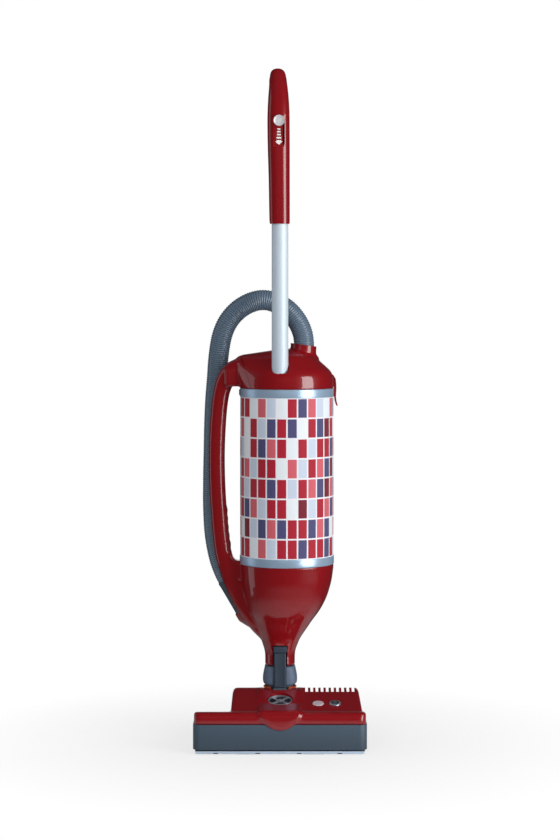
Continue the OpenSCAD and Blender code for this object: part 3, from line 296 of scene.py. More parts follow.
def round_edges(bm, radius, segments=3, angle=25):
    """Rounds the edges that turn more than an angle."""
    limit = math.radians(angle)
    edges = [e for e in bm.edges if len(e.link_faces) == 2 and e.calc_face_angle(0) > limit]
    bmesh.ops.bevel(
        bm, geom=edges, offset=radius, segments=segments, profile=0.5, affect="EDGES", material=-1,
        clamp_overlap=True,
    )


def rod(start, end, radius, segments=32, radius2=None, bm=None):
    """Round bar between two points."""
    bm = bm or bmesh.new()
    start, end = Vector(start), Vector(end)
    direction = end - start
    matrix = Matrix.Translation((start + end) / 2) @ direction.to_track_quat("Z", "Y").to_matrix().to_4x4()
    bmesh.ops.create_cone(
        bm, cap_ends=True, segments=segments, radius1=radius, radius2=radius if radius2 is None else radius2,
        depth=direction.length, matrix=matrix,
    )
    return bm


def bake(made):
    """Applies a piece's modifiers."""
    bpy.context.view_layer.update()
    seen = made.evaluated_get(bpy.context.evaluated_depsgraph_get())
    mesh = bpy.data.meshes.new_from_object(seen)
    old = made.data
    made.modifiers.clear()
    made.data = mesh
    bpy.data.meshes.remove(old)
    mesh.name = made.name


def thicken(made, thickness):
    """Gives an open skin a wall, on its inner side."""
    wall = made.modifiers.new("thickness", "SOLIDIFY")
    wall.thickness = thickness
    wall.offset = -1
    bake(made)


def take(made):
    """Turns an object back into a bmesh."""
    result = bmesh.new()
    mesh = made.data
    result.from_mesh(mesh)
    bpy.data.objects.remove(made)
    bpy.data.meshes.remove(mesh)
    return result


def combine(bm, cutter, operation="DIFFERENCE"):
    """Cuts, joins or intersects one closed bmesh with another, and returns the result."""
    first = finish(bm, "first")
    second = finish(cutter, "second")
    change = first.modifiers.new("boolean", "BOOLEAN")
    change.object = second
    change.operation = operation
    change.solver = "EXACT"
    bake(first)
    take(second).free()
    return take(first)


def fuse(bm, voxel, rounds):
    """Melts overlapping closed shells into one moulding with small fillets."""
    made = finish(bm, "fused")
    change = made.modifiers.new("remesh", "REMESH")
    change.mode = "VOXEL"
    change.voxel_size = voxel * 1
    bake(made)
    result = take(made)
    for _ in range(rounds):
        bmesh.ops.smooth_vert(
            result, verts=result.verts, factor=0.5, use_axis_x=True, use_axis_y=True, use_axis_z=True
        )
    return result


def oval(turn, wide, deep, power=2.0):
    """Point of an ellipse, or of a squarer form with a power above 2."""
    angle = 2 * math.pi * turn
    c, s = math.cos(angle), math.sin(angle)
    return (
        wide * math.copysign(abs(c) ** (2 / power), c),
        deep * math.copysign(abs(s) ** (2 / power), s),
    )


def between(rows, key):
    """Row at a key between listed rows, on a smooth curve through them; a row's first value is its key."""
    last = len(rows) - 1
    i = min(max(sum(1 for row in rows if row[0] <= key) - 1, 0), last - 1)
    a, b = rows[i], rows[i + 1]
    width = b[0] - a[0]
    u = min(max((key - a[0]) / width, 0), 1)
    found = [key]
    for n in range(1, len(a)):
        before = rows[max(i - 1, 0)]
        after = rows[min(i + 2, last)]
        slope_a = (b[n] - before[n]) / (b[0] - before[0]) * width
        slope_b = (after[n] - a[n]) / (after[0] - a[0]) * width
        h1 = 2 * u**3 - 3 * u**2 + 1
        h2 = u**3 - 2 * u**2 + u
        h3 = 3 * u**2 - 2 * u**3
        h4 = u**3 - u**2
        found.append(h1 * a[n] + h2 * slope_a + h3 * b[n] + h4 * slope_b)
    return found


def smooth_path(points, per_span):
    """Points of a smooth curve through the given points."""
    result = []
    last = len(points) - 1
    for i in range(last):
        a, b, c, d = (Vector(points[min(max(k, 0), last)]) for k in (i - 1, i, i + 1, i + 2))
        for k in range(per_span):
            u = k / per_span
            bend, twist = 2 * a - 5 * b + 4 * c - d, 3 * b - a - 3 * c + d
            result.append(0.5 * (2 * b + (c - a) * u + bend * u**2 + twist * u**3))
    result.append(Vector(points[last]))
    return result


# ------------------------------------------------------------------ materials


def add(tree, kind, inputs=None, **settings):
    """Adds a node; inputs maps a socket to a value, or to the output socket that feeds it."""
    node = tree.nodes.new(kind)
    for key, value in settings.items():
        setattr(node, key, value)
    for key, value in (inputs or {}).items():
        if isinstance(value, bpy.types.NodeSocket):
            tree.links.new(value, node.inputs[key])
        else:
            node.inputs[key].default_value = value
    return node


def surface(name, colour, roughness, **settings):
    """A new material with its shader: returns the material, its tree and the shader node."""
    material = bpy.data.materials.new(name)
    material.use_nodes = True
    tree = material.node_tree
    tree.nodes.clear()
    values = {"Base Color": (*colour, 1), "Roughness": roughness}
    for key, value in settings.items():
        values[key.replace("_", " ").title().replace("Ior", "IOR")] = value
    shader = add(tree, "ShaderNodeBsdfPrincipled", values)
    add(tree, "ShaderNodeOutputMaterial", {"Surface": shader.outputs[0]})
    return material, tree, shader


def noise(tree, size, detail=3.0, stretch=(1, 1, 1)):
    """Noise whose grains are about size metres across, on Object coordinates."""
    place = add(tree, "ShaderNodeTexCoord").outputs["Object"]
    scaled = add(tree, "ShaderNodeMapping", {"Vector": place, "Scale": stretch}).outputs[0]
    return add(tree, "ShaderNodeTexNoise", {"Vector": scaled, "Scale": 1 / size, "Detail": detail}).outputs[0]


def vary(tree, shader, pattern, dark, light, colour):
    """Lets a pattern swing the base colour between a darker and a lighter share of it."""
    mix = add(
        tree, "ShaderNodeMix",
        {0: pattern, 6: (*[c * dark for c in colour], 1), 7: (*[min(c * light, 1) for c in colour], 1)},
        data_type="RGBA",
    )
    tree.links.new(mix.outputs[2], shader.inputs["Base Color"])


def emboss(tree, shader, pattern, depth, strength=0.3, coat=False):
    """Uses a pattern as relief of a depth in metres."""
    bump = add(tree, "ShaderNodeBump", {"Height": pattern, "Strength": strength, "Distance": depth})
    tree.links.new(bump.outputs[0], shader.inputs["Normal"])
    if coat:
        tree.links.new(bump.outputs[0], shader.inputs["Coat Normal"])


def gloss_abs():
    """Deep red lacquer on moulded ABS: dark colour under a clear coat that mirrors the lamps, with a
    faint orange peel of 5 mm waves and pigment drawn at 0.5 mm, coarser than real, to show."""
    red = bpy.context.scene.vacuum_colours.red
    material, tree, shader = surface(
        "gloss_abs_red", red, 0.34, specular_ior_level=0.3, coat_weight=1.0, coat_roughness=0.04, coat_ior=1.6
    )
    vary(tree, shader, noise(tree, 0.5 * MM, 2), 0.95, 1.05, red)
    emboss(tree, shader, noise(tree, 5 * MM, 1), 0.04 * MM, 0.1, coat=True)
    return material


def grained_abs(name="grained_abs_slate", colour=None, roughness=0.46):
    """Moulded ABS with a spark-eroded grain of 0.6 mm: a dull sheen that breaks up highlights."""
    colour = colour or bpy.context.scene.vacuum_colours.slate
    material, tree, shader = surface(name, colour, roughness)
    grain = noise(tree, 0.6 * MM, 2)
    vary(tree, shader, noise(tree, 14 * MM, 3), 0.93, 1.07, colour)
    emboss(tree, shader, grain, 0.06 * MM, 0.4)
    return material


def soft_tpe():
    """Soft thermoplastic rubber of the bumper: matt, with rub marks that lie along its length, and with
    painted light: a colour that grows paler towards the top, where the lamps would catch it."""
    slate = linear("#41515F")
    material, tree, shader = surface("moulded_tpe_bumper", slate, 0.52)
    place = add(tree, "ShaderNodeTexCoord").outputs["Object"]
    height = add(tree, "ShaderNodeSeparateXYZ", {"Vector": place}).outputs["Z"]
    painted_light_span = {"Value": height, "From Min": HEAD_LO.z, "From Max": HEAD_HI.z}
    share = add(tree, "ShaderNodeMapRange", painted_light_span).outputs[0]
    # painted light: the colour runs from darker at the bottom to paler at the top
    vary(tree, shader, share, 0.78, 1.14, slate)
    emboss(tree, shader, noise(tree, 1.2 * MM, 2, (0.15, 1, 1)), 0.05 * MM, 0.35)
    return material


def ribbed_pe():
    """Blow-moulded polyethylene hose: a soft sheen from its coat, and painted shade that darkens its grooves.
    """
    colour = bpy.context.scene.vacuum_colours.hose
    material, tree, shader = surface(
        "blow_moulded_pe_hose", colour, 0.38, coat_weight=0.8, coat_roughness=0.2
    )
    # the rib attribute is the mask of painted shade: darker in the grooves, a little lighter on the crests
    rib = add(tree, "ShaderNodeAttribute", attribute_name="rib").outputs["Fac"]
    vary(tree, shader, rib, 0.78, 1.04, colour)
    emboss(tree, shader, noise(tree, 0.8 * MM, 2), 0.02 * MM, 0.15)
    return material


def plated_ring():
    """Vacuum-plated plastic ring: a bright satin mirror with fine upright marks."""
    silver = linear("#BCD6F0")
    material, tree, shader = surface("vacuum_plated_silver", silver, 0.3, metallic=0.5)
    vary(tree, shader, noise(tree, 30 * MM, 2), 0.88, 1.06, silver)
    emboss(tree, shader, noise(tree, 0.5 * MM, 2, (1, 1, 0.05)), 0.02 * MM, 0.15)
    return material


def anodised_tube():
    """Drawn and anodised aluminium: blue-silver satin with hair-fine lines along the tube."""
    colour = bpy.context.scene.vacuum_colours.tube
    material, tree, shader = surface("anodised_aluminium_tube", colour, 0.5, metallic=0.22)
    lines = noise(tree, 0.4 * MM, 2, (1, 1, 0.01))
    vary(tree, shader, lines, 0.96, 1.03, colour)
    emboss(tree, shader, lines, 0.01 * MM, 0.08)
    return material


def lacquered_silver():
    """Silver-lacquered ABS of the dial and buttons: bright, fine-grained, slightly soft in its gloss."""
    silver = bpy.context.scene.vacuum_colours.silver
    material, tree, shader = surface(
        "lacquered_silver_abs", silver, 0.3, metallic=0.75, coat_weight=0.4, coat_roughness=0.08
    )
    vary(tree, shader, noise(tree, 0.5 * MM, 2), 0.9, 1.06, silver)
    return material


def printed_fleece():
    """Spunbond filter fleece, calendered flat and printed: a matt white ground with rectangular tiles,
    each with slightly uneven ink, over a web of fibres drawn at 0.7 mm so that it shows."""
    sizes = bpy.context.scene.vacuum_sizes
    ground = bpy.context.scene.vacuum_colours.ground
    material, tree, shader = surface("printed_spunbond_fleece", ground, 0.72, sheen_weight=0.15)
    where = add(tree, "ShaderNodeUVMap", uv_map="UVMap").outputs[0]
    split = add(tree, "ShaderNodeSeparateXYZ", {"Vector": where})

    def math_node(operation, first, second=0.0):
        return add(tree, "ShaderNodeMath", {0: first, 1: second}, operation=operation).outputs[0]

    round_size = 2 * math.pi * SLEEVE_R
    tall = SLEEVE_HI.z - SLEEVE_LO.z
    cells, inside = [], None
    for socket, count, size in (
        (split.outputs["X"], sizes.tile_columns, round_size),
        (split.outputs["Y"], sizes.tile_rows, tall),
    ):
        scaled = math_node("MULTIPLY", socket, float(count))
        cells.append(math_node("FLOOR", scaled))
        share = math_node("FRACT", scaled)
        edge = sizes.tile_gap / 2 / (size / count)
        centred = math_node("ABSOLUTE", math_node("SUBTRACT", share, 0.5))
        part = math_node("LESS_THAN", centred, 0.5 - edge)
        inside = part if inside is None else math_node("MULTIPLY", inside, part)
    cell = add(tree, "ShaderNodeCombineXYZ", {"X": cells[0], "Y": cells[1], "Z": 11.0}).outputs[0]
    pick = add(tree, "ShaderNodeTexWhiteNoise", {"Vector": cell}).outputs["Value"]
    # uneven steps from tile to tile keep like colours apart; the noise breaks their order up
    pick = math_node("MULTIPLY", pick, 0.25)
    for step, share in zip(cells, (0.618, 0.285)):
        pick = math_node("ADD", pick, math_node("MULTIPLY", step, share))
    pick = math_node("FRACT", pick)
    palette = (
        (0.0, "#B3102C"), (0.20, "#EFF5F9"), (0.32, "#4E4B78"), (0.48, "#CFD9EA"), (0.62, "#B3102C"),
        (0.78, "#D9616C"), (0.94, "#7E0F2A"),
    )
    ramp = add(tree, "ShaderNodeValToRGB", {"Fac": pick})
    ramp.color_ramp.interpolation = "CONSTANT"
    while len(ramp.color_ramp.elements) < len(palette):
        ramp.color_ramp.elements.new(0.5)
    for element, (position, code) in zip(ramp.color_ramp.elements, palette):
        element.position = position
        element.color = (*linear(code), 1)
    fibres = noise(tree, 0.7 * MM, 4)
    ink = add(tree, "ShaderNodeMapRange", {"Value": fibres, "To Min": 0.88, "To Max": 1.06}).outputs[0]
    printed = add(
        tree, "ShaderNodeMix", {0: 1.0, 6: ramp.outputs[0], 7: ink}, data_type="RGBA", blend_type="MULTIPLY"
    ).outputs[2]
    shown = add(tree, "ShaderNodeMix", {0: inside, 6: (*ground, 1), 7: printed}, data_type="RGBA").outputs[2]
    tree.links.new(shown, shader.inputs["Base Color"])
    emboss(tree, shader, fibres, 0.12 * MM, 0.45)
    return material


def plain(name, code, roughness, size=2 * MM, relief=0.05 * MM, **settings):
    """A moulded or turned material with its own colour, uneven tone and relief of a given grain."""
    colour = linear(code)
    material, tree, shader = surface(name, colour, roughness, **settings)
    vary(tree, shader, noise(tree, size * 6, 3), 0.9, 1.08, colour)
    emboss(tree, shader, noise(tree, size, 2), relief, 0.3)
    return material


def make_materials():
    """Every material of the object, by the record's slot."""
    grey = linear("#5B5D61")
    return {
        "red_gloss": gloss_abs(),
        "slate_plastic": grained_abs(),
        "bumper_rubber": soft_tpe(),
        "hose_plastic": ribbed_pe(),
        "silver_plastic": lacquered_silver(),
        "silver_ring": plated_ring(),
        "tube_metal": anodised_tube(),
        "sleeve_fabric": printed_fleece(),
        "grey_plastic": grained_abs("grained_abs_grey", grey, 0.5),
        # lighter and darker copies of the slate ABS: painted light on the collar, painted shade on the bar
        # and its button
        "slate_painted_light": grained_abs("grained_abs_slate_painted_light", linear("#5B6B80"), 0.5),
        "slate_painted_shade": grained_abs("grained_abs_slate_painted_shade", linear("#36414F"), 0.42),
        # polyamide ring: a warm plastic with a fine dull skin
        "orange_plastic": plain("moulded_polyamide_orange", "#E2571B", 0.45, 0.8 * MM),
        # polished ABS strip: a pale line with a clean highlight
        "pale_plastic": plain("polished_abs_pale", "#B9C9DC", 0.25, 3 * MM, 0.02 * MM),
        "white_plastic": plain("moulded_abs_white", "#E9E9E6", 0.4),
        "black_plastic": plain("moulded_abs_black", "#1B1C1F", 0.45, 0.8 * MM),
        # pearl lacquer: pale, with a soft clear gloss
        "pearl_plastic": plain(
            "pearl_lacquered_abs", "#E2DEDF", 0.3, 1 * MM, 0.02 * MM, metallic=0.2, coat_weight=0.5
        ),
        # turned steel: a bright metal with fine marks
        "steel": plain("turned_steel", "#B8B8BA", 0.3, 0.5 * MM, 0.02 * MM, metallic=1.0),
        "motor_steel": plain("painted_steel_can", "#3C3F43", 0.4, 1.5 * MM),
        "fan_metal": plain("pressed_aluminium", "#C9CACC", 0.32, 1 * MM, 0.03 * MM, metallic=1.0),
        # vulcanised rubber: matt with a light bloom
        "rubber_black": plain("vulcanised_rubber_black", "#17181A", 0.65, 0.7 * MM),
        "wheel_rubber": plain("soft_tread_rubber", "#2B2D31", 0.6, 0.9 * MM),
        # nylon tufts: dark, stiff and slightly shiny
        "bristle": plain("nylon_bristle", "#202226", 0.4, 0.4 * MM, 0.1 * MM),
        "lamp_lens": plain("tinted_pc_lens", "#CDB9C0", 0.22, 2 * MM, 0.02 * MM, coat_weight=0.6),
        "circuit_board": plain("solder_masked_board", "#1C5A33", 0.35, 1 * MM),
        "bag_paper": plain("creped_filter_paper", "#C2A57F", 0.8, 1.2 * MM, 0.2 * MM),
        "filter_fleece": plain("needled_filter_fleece", "#BCC8D3", 0.85, 0.9 * MM, 0.2 * MM),
        "grip_rubber": plain("soft_touch_tpe_black", "#1E2024", 0.6, 0.7 * MM),
        # near-black: painted shade in the seam, slider slot, latch seat, dial floor and lip notches, and the
        # print of the brush button's sign
        "black_shade_and_print": plain("black_painted_shade_and_print", "#0E0E11", 0.5, 0.8 * MM),
        "white_ink": plain("pad_printed_white_ink", "#F4F2EF", 0.5, 0.4 * MM, 0.01 * MM),
    }


# Filled by the materials operator
MATERIALS = {}


# ------------------------------------------------------------------ hose and sleeve

# Route of the hose in mm, from the lid's port over the arch and down behind the carry handle
HOSE_POINTS = [
    (44, 4, 690), (44, 4, 709), (44, 4, 728), (41, 5, 748), (31, 6, 770), (14, 7, 790),
    (-8, 9, 803), (-32, 11, 808), (-57, 14, 802), (-80, 17, 787), (-97, 20, 766),
    (-107, 24, 742), (-112, 29, 716), (-115, 34, 690), (-117, 37, 662), (-120, 38, 625),
    (-122, 38, 580), (-123, 38, 530), (-124, 38, 478), (-124, 38, 425), (-121, 38, 375),
    (-113, 38.5, 332), (-102, 38, 302), (-91.75, 36.75, 285), (-81.5, 35.5, 268), (-71.25, 34.25, 251),
    (-61, 33, 234),
]
HOSE_R = 19 * MM
CUFF_L = 70 * MM
CUFF_IN = 7 * MM


def path_frame(path):
    """Lengths along a path, and a function for the point, and two directions across it, at a length."""
    lengths = [0.0]
    for a, b in zip(path, path[1:]):
        lengths.append(lengths[-1] + (b - a).length)

    def at(length):
        length = min(max(length, 0), lengths[-1])
        i = min(bisect.bisect_right(lengths, length) - 1, len(path) - 2)
        share = (length - lengths[i]) / (lengths[i + 1] - lengths[i])
        along = (path[min(i + 2, len(path) - 1)] - path[max(i - 1, 0)]).normalized()
        side = Vector((0, 1, 0)).cross(along).normalized()
        return path[i].lerp(path[i + 1], share), side, along.cross(side)

    return lengths[-1], at


class VACUUM_OT_hose(bpy.types.Operator):
    """Ribbed suction hose, with the smooth cuff at its lower end"""

    bl_idname = "vacuum.hose"
    bl_label = "Hose and cuff"

    def execute(self, context):
        sizes = context.scene.vacuum_sizes
        path = smooth_path([Vector(point) * MM for point in HOSE_POINTS], 12)
        total, at = path_frame(path)
        plain_end = 2 * HOSE_R
        end_gap = 0.2 * MM
        wave = (0.0, 0.55, 1.0, 1.0, 0.55, 0.0)
        rows = int((total - 2 * plain_end) / sizes.rib_pitch) * len(wave)

        def place(turn, rise):
            length = {0: end_gap, 1: total - end_gap}.get(rise, plain_end + (total - 2 * plain_end) * rise)
            groove = 0.0 if rise in (0, 1) else 1 - wave[round(rise * rows) % len(wave)]
            return self.round_point(at, length, turn, HOSE_R - sizes.rib_depth * groove)

        hose = finish(wrap(place, 40, rows), "suction_hose_ribbed", MATERIALS["hose_plastic"], 80)
        self.mark_groove_shade(hose, total, at, sizes.rib_depth)
        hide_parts("suction_hose")
        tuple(path[0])
        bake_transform(hose)
        self.cuff(path, total, at)
        return {"FINISHED"}

    def round_point(self, at, length, turn, radius):
        point, side, up = at(length)
        x, y = oval(turn, radius, radius)
        return point + side * x + up * y

    def cuff(self, path, total, at):
        """Smooth sleeve over the hose's lower end, with a rolled rim."""
        rows = (
            (0.00, 0.3), (0.02, 1.0), (0.05, 1.2), (0.09, 1.1), (0.12, 1.0), (0.6, 1.2),
            (0.9, 1.5), (1.0, 1.5),
        )
        along = (path[-1] - path[-2]).normalized()

        def place(turn, rise):
            length = total - CUFF_L + (CUFF_L + CUFF_IN) * rise
            point = self.round_point(at, length, turn, HOSE_R + between(rows, rise)[1] * MM)
            return point + along * max(length - total, 0)

        piece(wrap(place, 64, 48), "hose_cuff_smooth", "body", "slate_plastic", ["hose_cuff"])

    def mark_groove_shade(self, hose, total, at, depth):
        """Stores how near each vertex of the hose is to the crest of its rib, as the mask of the painted
        shade in the grooves.
        """
        count, near = 1600, 40
        samples = [at(total * k / count)[0] for k in range(count + 1)]
        values = []
        i = 0
        for vert in hose.data.vertices:
            window = range(max(i - near, 0), min(i + near, count) + 1)
            i = min(window, key=lambda k: (samples[k] - vert.co).length_squared)
            out = (samples[i] - vert.co).length
            values.append(min(max((out - (HOSE_R - depth)) / depth, 0), 1))
        hose.data.attributes.new("rib", "FLOAT", "POINT").data.foreach_set("value", values)


class VACUUM_OT_sleeve(bpy.types.Operator):
    """Printed fleece sleeve round the bag chamber, and the two plated rings that hold it"""

    bl_idname = "vacuum.sleeve"
    bl_label = "Sleeve and rings"

    def execute(self, context):
        tall = SLEEVE_HI.z - SLEEVE_LO.z
        bm = bmesh.new()
        bm.loops.layers.uv.new("UVMap")
        for vert, turn, rise in grid(bm, 168, 40, calc_uvs=True):
            angle = 2 * math.pi * turn + math.pi / 2
            swell = (0.35 + 0.25 * math.sin(angle * 9)) * math.sin(math.pi * rise) * MM
            radius = SLEEVE_R - 0.75 * MM + swell
            vert.co = BODY_X + radius * math.cos(angle), radius * math.sin(angle), SLEEVE_LO.z + tall * rise
        sleeve = piece(
            bm, "filter_sleeve_fleece", "body", "sleeve_fabric", ["filter_sleeve"], sharp=80, normals=False
        )
        thicken(sleeve, 1.2 * MM)
        for node in ("ring_bottom", "ring_top"):
            self.ring(node)
        left, low = BODY_X - SLEEVE_R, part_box("ring_top")[0].z
        outside, inside = left - 1.6 * MM, left + 1 * MM
        lug = block((outside, -5 * MM, low + 3 * MM), (inside, 5 * MM, low + 13 * MM), 0.8 * MM)
        piece(lug, "ring_lug", "body", "rubber_black")
        return {"FINISHED"}

    def ring(self, node):
        """Plated ring with rounded outer edges."""
        low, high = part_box(node)[0].z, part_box(node)[1].z
        outer, inner, soft, near = SLEEVE_R + 0.5 * MM, SLEEVE_R - 3 * MM, 1.1 * MM, 0.3 * MM
        profile = [
            (inner, low), (outer - soft, low), (outer - near, low + near), (outer, low + soft),
            (outer, high - soft), (outer - near, high - near), (outer - soft, high), (inner, high),
        ]
        piece(lathe(profile, 144, (BODY_X, 0)), node + "_plated", "body", "silver_ring", [node])


# ------------------------------------------------------------------ body shell and lid

# Height share of the cone, its offset towards the bag housing and its growth, as shares
CONE_STEPS = [
    (0.000, 0.00, 0.000), (0.081, 0.00, 0.000), (0.119, 0.00, 0.008), (0.156, 0.00, 0.032),
    (0.199, 0.02, 0.079), (0.237, 0.04, 0.122), (0.275, 0.08, 0.177), (0.356, 0.20, 0.324),
    (0.436, 0.35, 0.463), (0.514, 0.48, 0.620), (0.593, 0.64, 0.738), (0.673, 0.76, 0.831),
    (0.755, 0.86, 0.895), (0.830, 0.92, 0.944), (0.911, 0.96, 0.975), (1.000, 1.00, 1.000),
]
STEM_R = 27.3 * MM
CONE_TOP_R = SLEEVE_R + 0.5 * MM

# Centreline of the carry handle in X and Z, with half its width and depth, in mm
LIMB = [
    (-62, 682, 24, 30), (-84, 676, 21, 26), (-98, 664, 17.5, 20), (-106, 644, 15.5, 16.5),
    (-111, 615, 15, 16), (-114.5, 570, 15, 16), (-116, 520, 15, 16), (-115, 470, 15, 16),
    (-112.5, 425, 15, 16), (-109, 380, 15, 16.5), (-104, 345, 15.5, 17), (-96, 318, 16, 17.5),
    (-85, 292, 18, 17), (-70, 265, 20, 17), (-55, 240, 20, 20), (-40, 215, 17, 22),
    (-26, 192, 11, 16),
]


def cone_point(turn, rise):
    """Surface of the cone: round at both ends, with a flattened front panel between creases."""
    _, offset, growth = between(CONE_STEPS, rise)
    radius = STEM_R + growth * (CONE_TOP_R - STEM_R)
    angle = 2 * math.pi * turn
    front = abs((math.degrees(angle) - 270 + 180) % 360 - 180)
    panel = 44 - 12 * (1 - rise)
    flat = 0.2 * math.sin(math.pi * min(max((rise - 0.1) / 0.9, 0), 1)) ** 0.7
    if front < panel:
        radius *= 1 - flat + flat * math.cos(math.radians(panel)) / math.cos(math.radians(front))
    return Vector((
        offset * BODY_X + radius * math.cos(angle),
        radius * math.sin(angle),
        STEM_Z + rise * (RING_Z - STEM_Z),
    ))


def limb_point(turn, rise):
    """Surface of the carry handle: squarish, with finger rests on its inner side."""
    last = len(LIMB) - 1
    at = rise * last
    rows = [(i, *row) for i, row in enumerate(LIMB)]
    _, x, z, wide, deep = between(rows, at)
    a, b = between(rows, max(at - 0.05, 0)), between(rows, min(at + 0.05, last))
    along = Vector((b[1] - a[1], 0, b[2] - a[2])).normalized()
    side = Vector((along.z, 0, -along.x))
    across, depth = oval(turn, wide, deep, 2.5)
    if across * side.x > 0 and 352 < z < 430:
        across += math.copysign(1.7 * abs(math.sin(math.pi * (z - 352) / 15.6)), across) * (
            1 - abs(depth) / deep
        )
    return Vector((x + side.x * across, depth, z + side.z * across)) * MM


# Outline of the lid's dome: shares of its radius and of its height
DOME = [
    (1.000, 0.00), (1.000, 0.14), (0.985, 0.30), (0.935, 0.43), (0.855, 0.53), (0.740, 0.65),
    (0.590, 0.80), (0.405, 0.92), (0.200, 0.98), (0.0, 1.00),
]
LID_H = 73 * MM
SEAM_X = -71 * MM
HINGE_Z = LID_Z + 58.6 * MM


def crown():
    """Dome over the bag housing, drawn out to the left where the carry handle leaves it."""
    profile = [(CONE_TOP_R * r, LID_Z + LID_H * h) for r, h in smooth_profile(DOME, 5)]
    bm = lathe([(0, LID_Z), *profile], 96, (BODY_X, 0))
    bmesh.ops.create_uvsphere(
        bm, u_segments=48, v_segments=32, radius=1,
        matrix=Matrix.Translation((-64 * MM, 0, LID_Z + 38 * MM)) @ Matrix.Diagonal((0.024, 0.034, 0.024, 1)),
    )
    hull = bmesh.ops.convex_hull(bm, input=bm.verts)
    loose = [g for g in hull["geom_interior"] + hull["geom_unused"] if isinstance(g, bmesh.types.BMVert)]
    bmesh.ops.delete(bm, geom=loose, context="VERTS")
    kept = {g for g in hull["geom"] if isinstance(g, bmesh.types.BMFace)}
    bmesh.ops.delete(bm, geom=[f for f in bm.faces if f not in kept], context="FACES")
    return bm


def smooth_profile(points, per_span):
    return [(p.x, p.y) for p in smooth_path([Vector((x, y, 0)) for x, y in points], per_span)]


def seam_x(z):
    """Where the sloping seam between shoulder and lid lies at a height."""
    return SEAM_X + min(z - HINGE_Z, 0) * (-52 * MM - SEAM_X) / (LID_Z - HINGE_Z)


def lid_region(gap, notch=0.0):
    """Closed prism right of the seam and above the trim ring, moved by a gap; a notch widens its top."""
    low = LID_Z + gap
    break_z = HINGE_Z - 17 * MM
    outline = [
        (seam_x(low) + gap, low), (seam_x(break_z) + gap, break_z), (seam_x(break_z) + gap - notch, break_z),
        (SEAM_X + gap - notch, HINGE_Z), (SEAM_X + gap - notch, ABOVE), (0.2, ABOVE), (0.2, low),
    ]
    if not notch:
        del outline[1:3]
    return prism(outline, "Y", -0.15, 0.15)


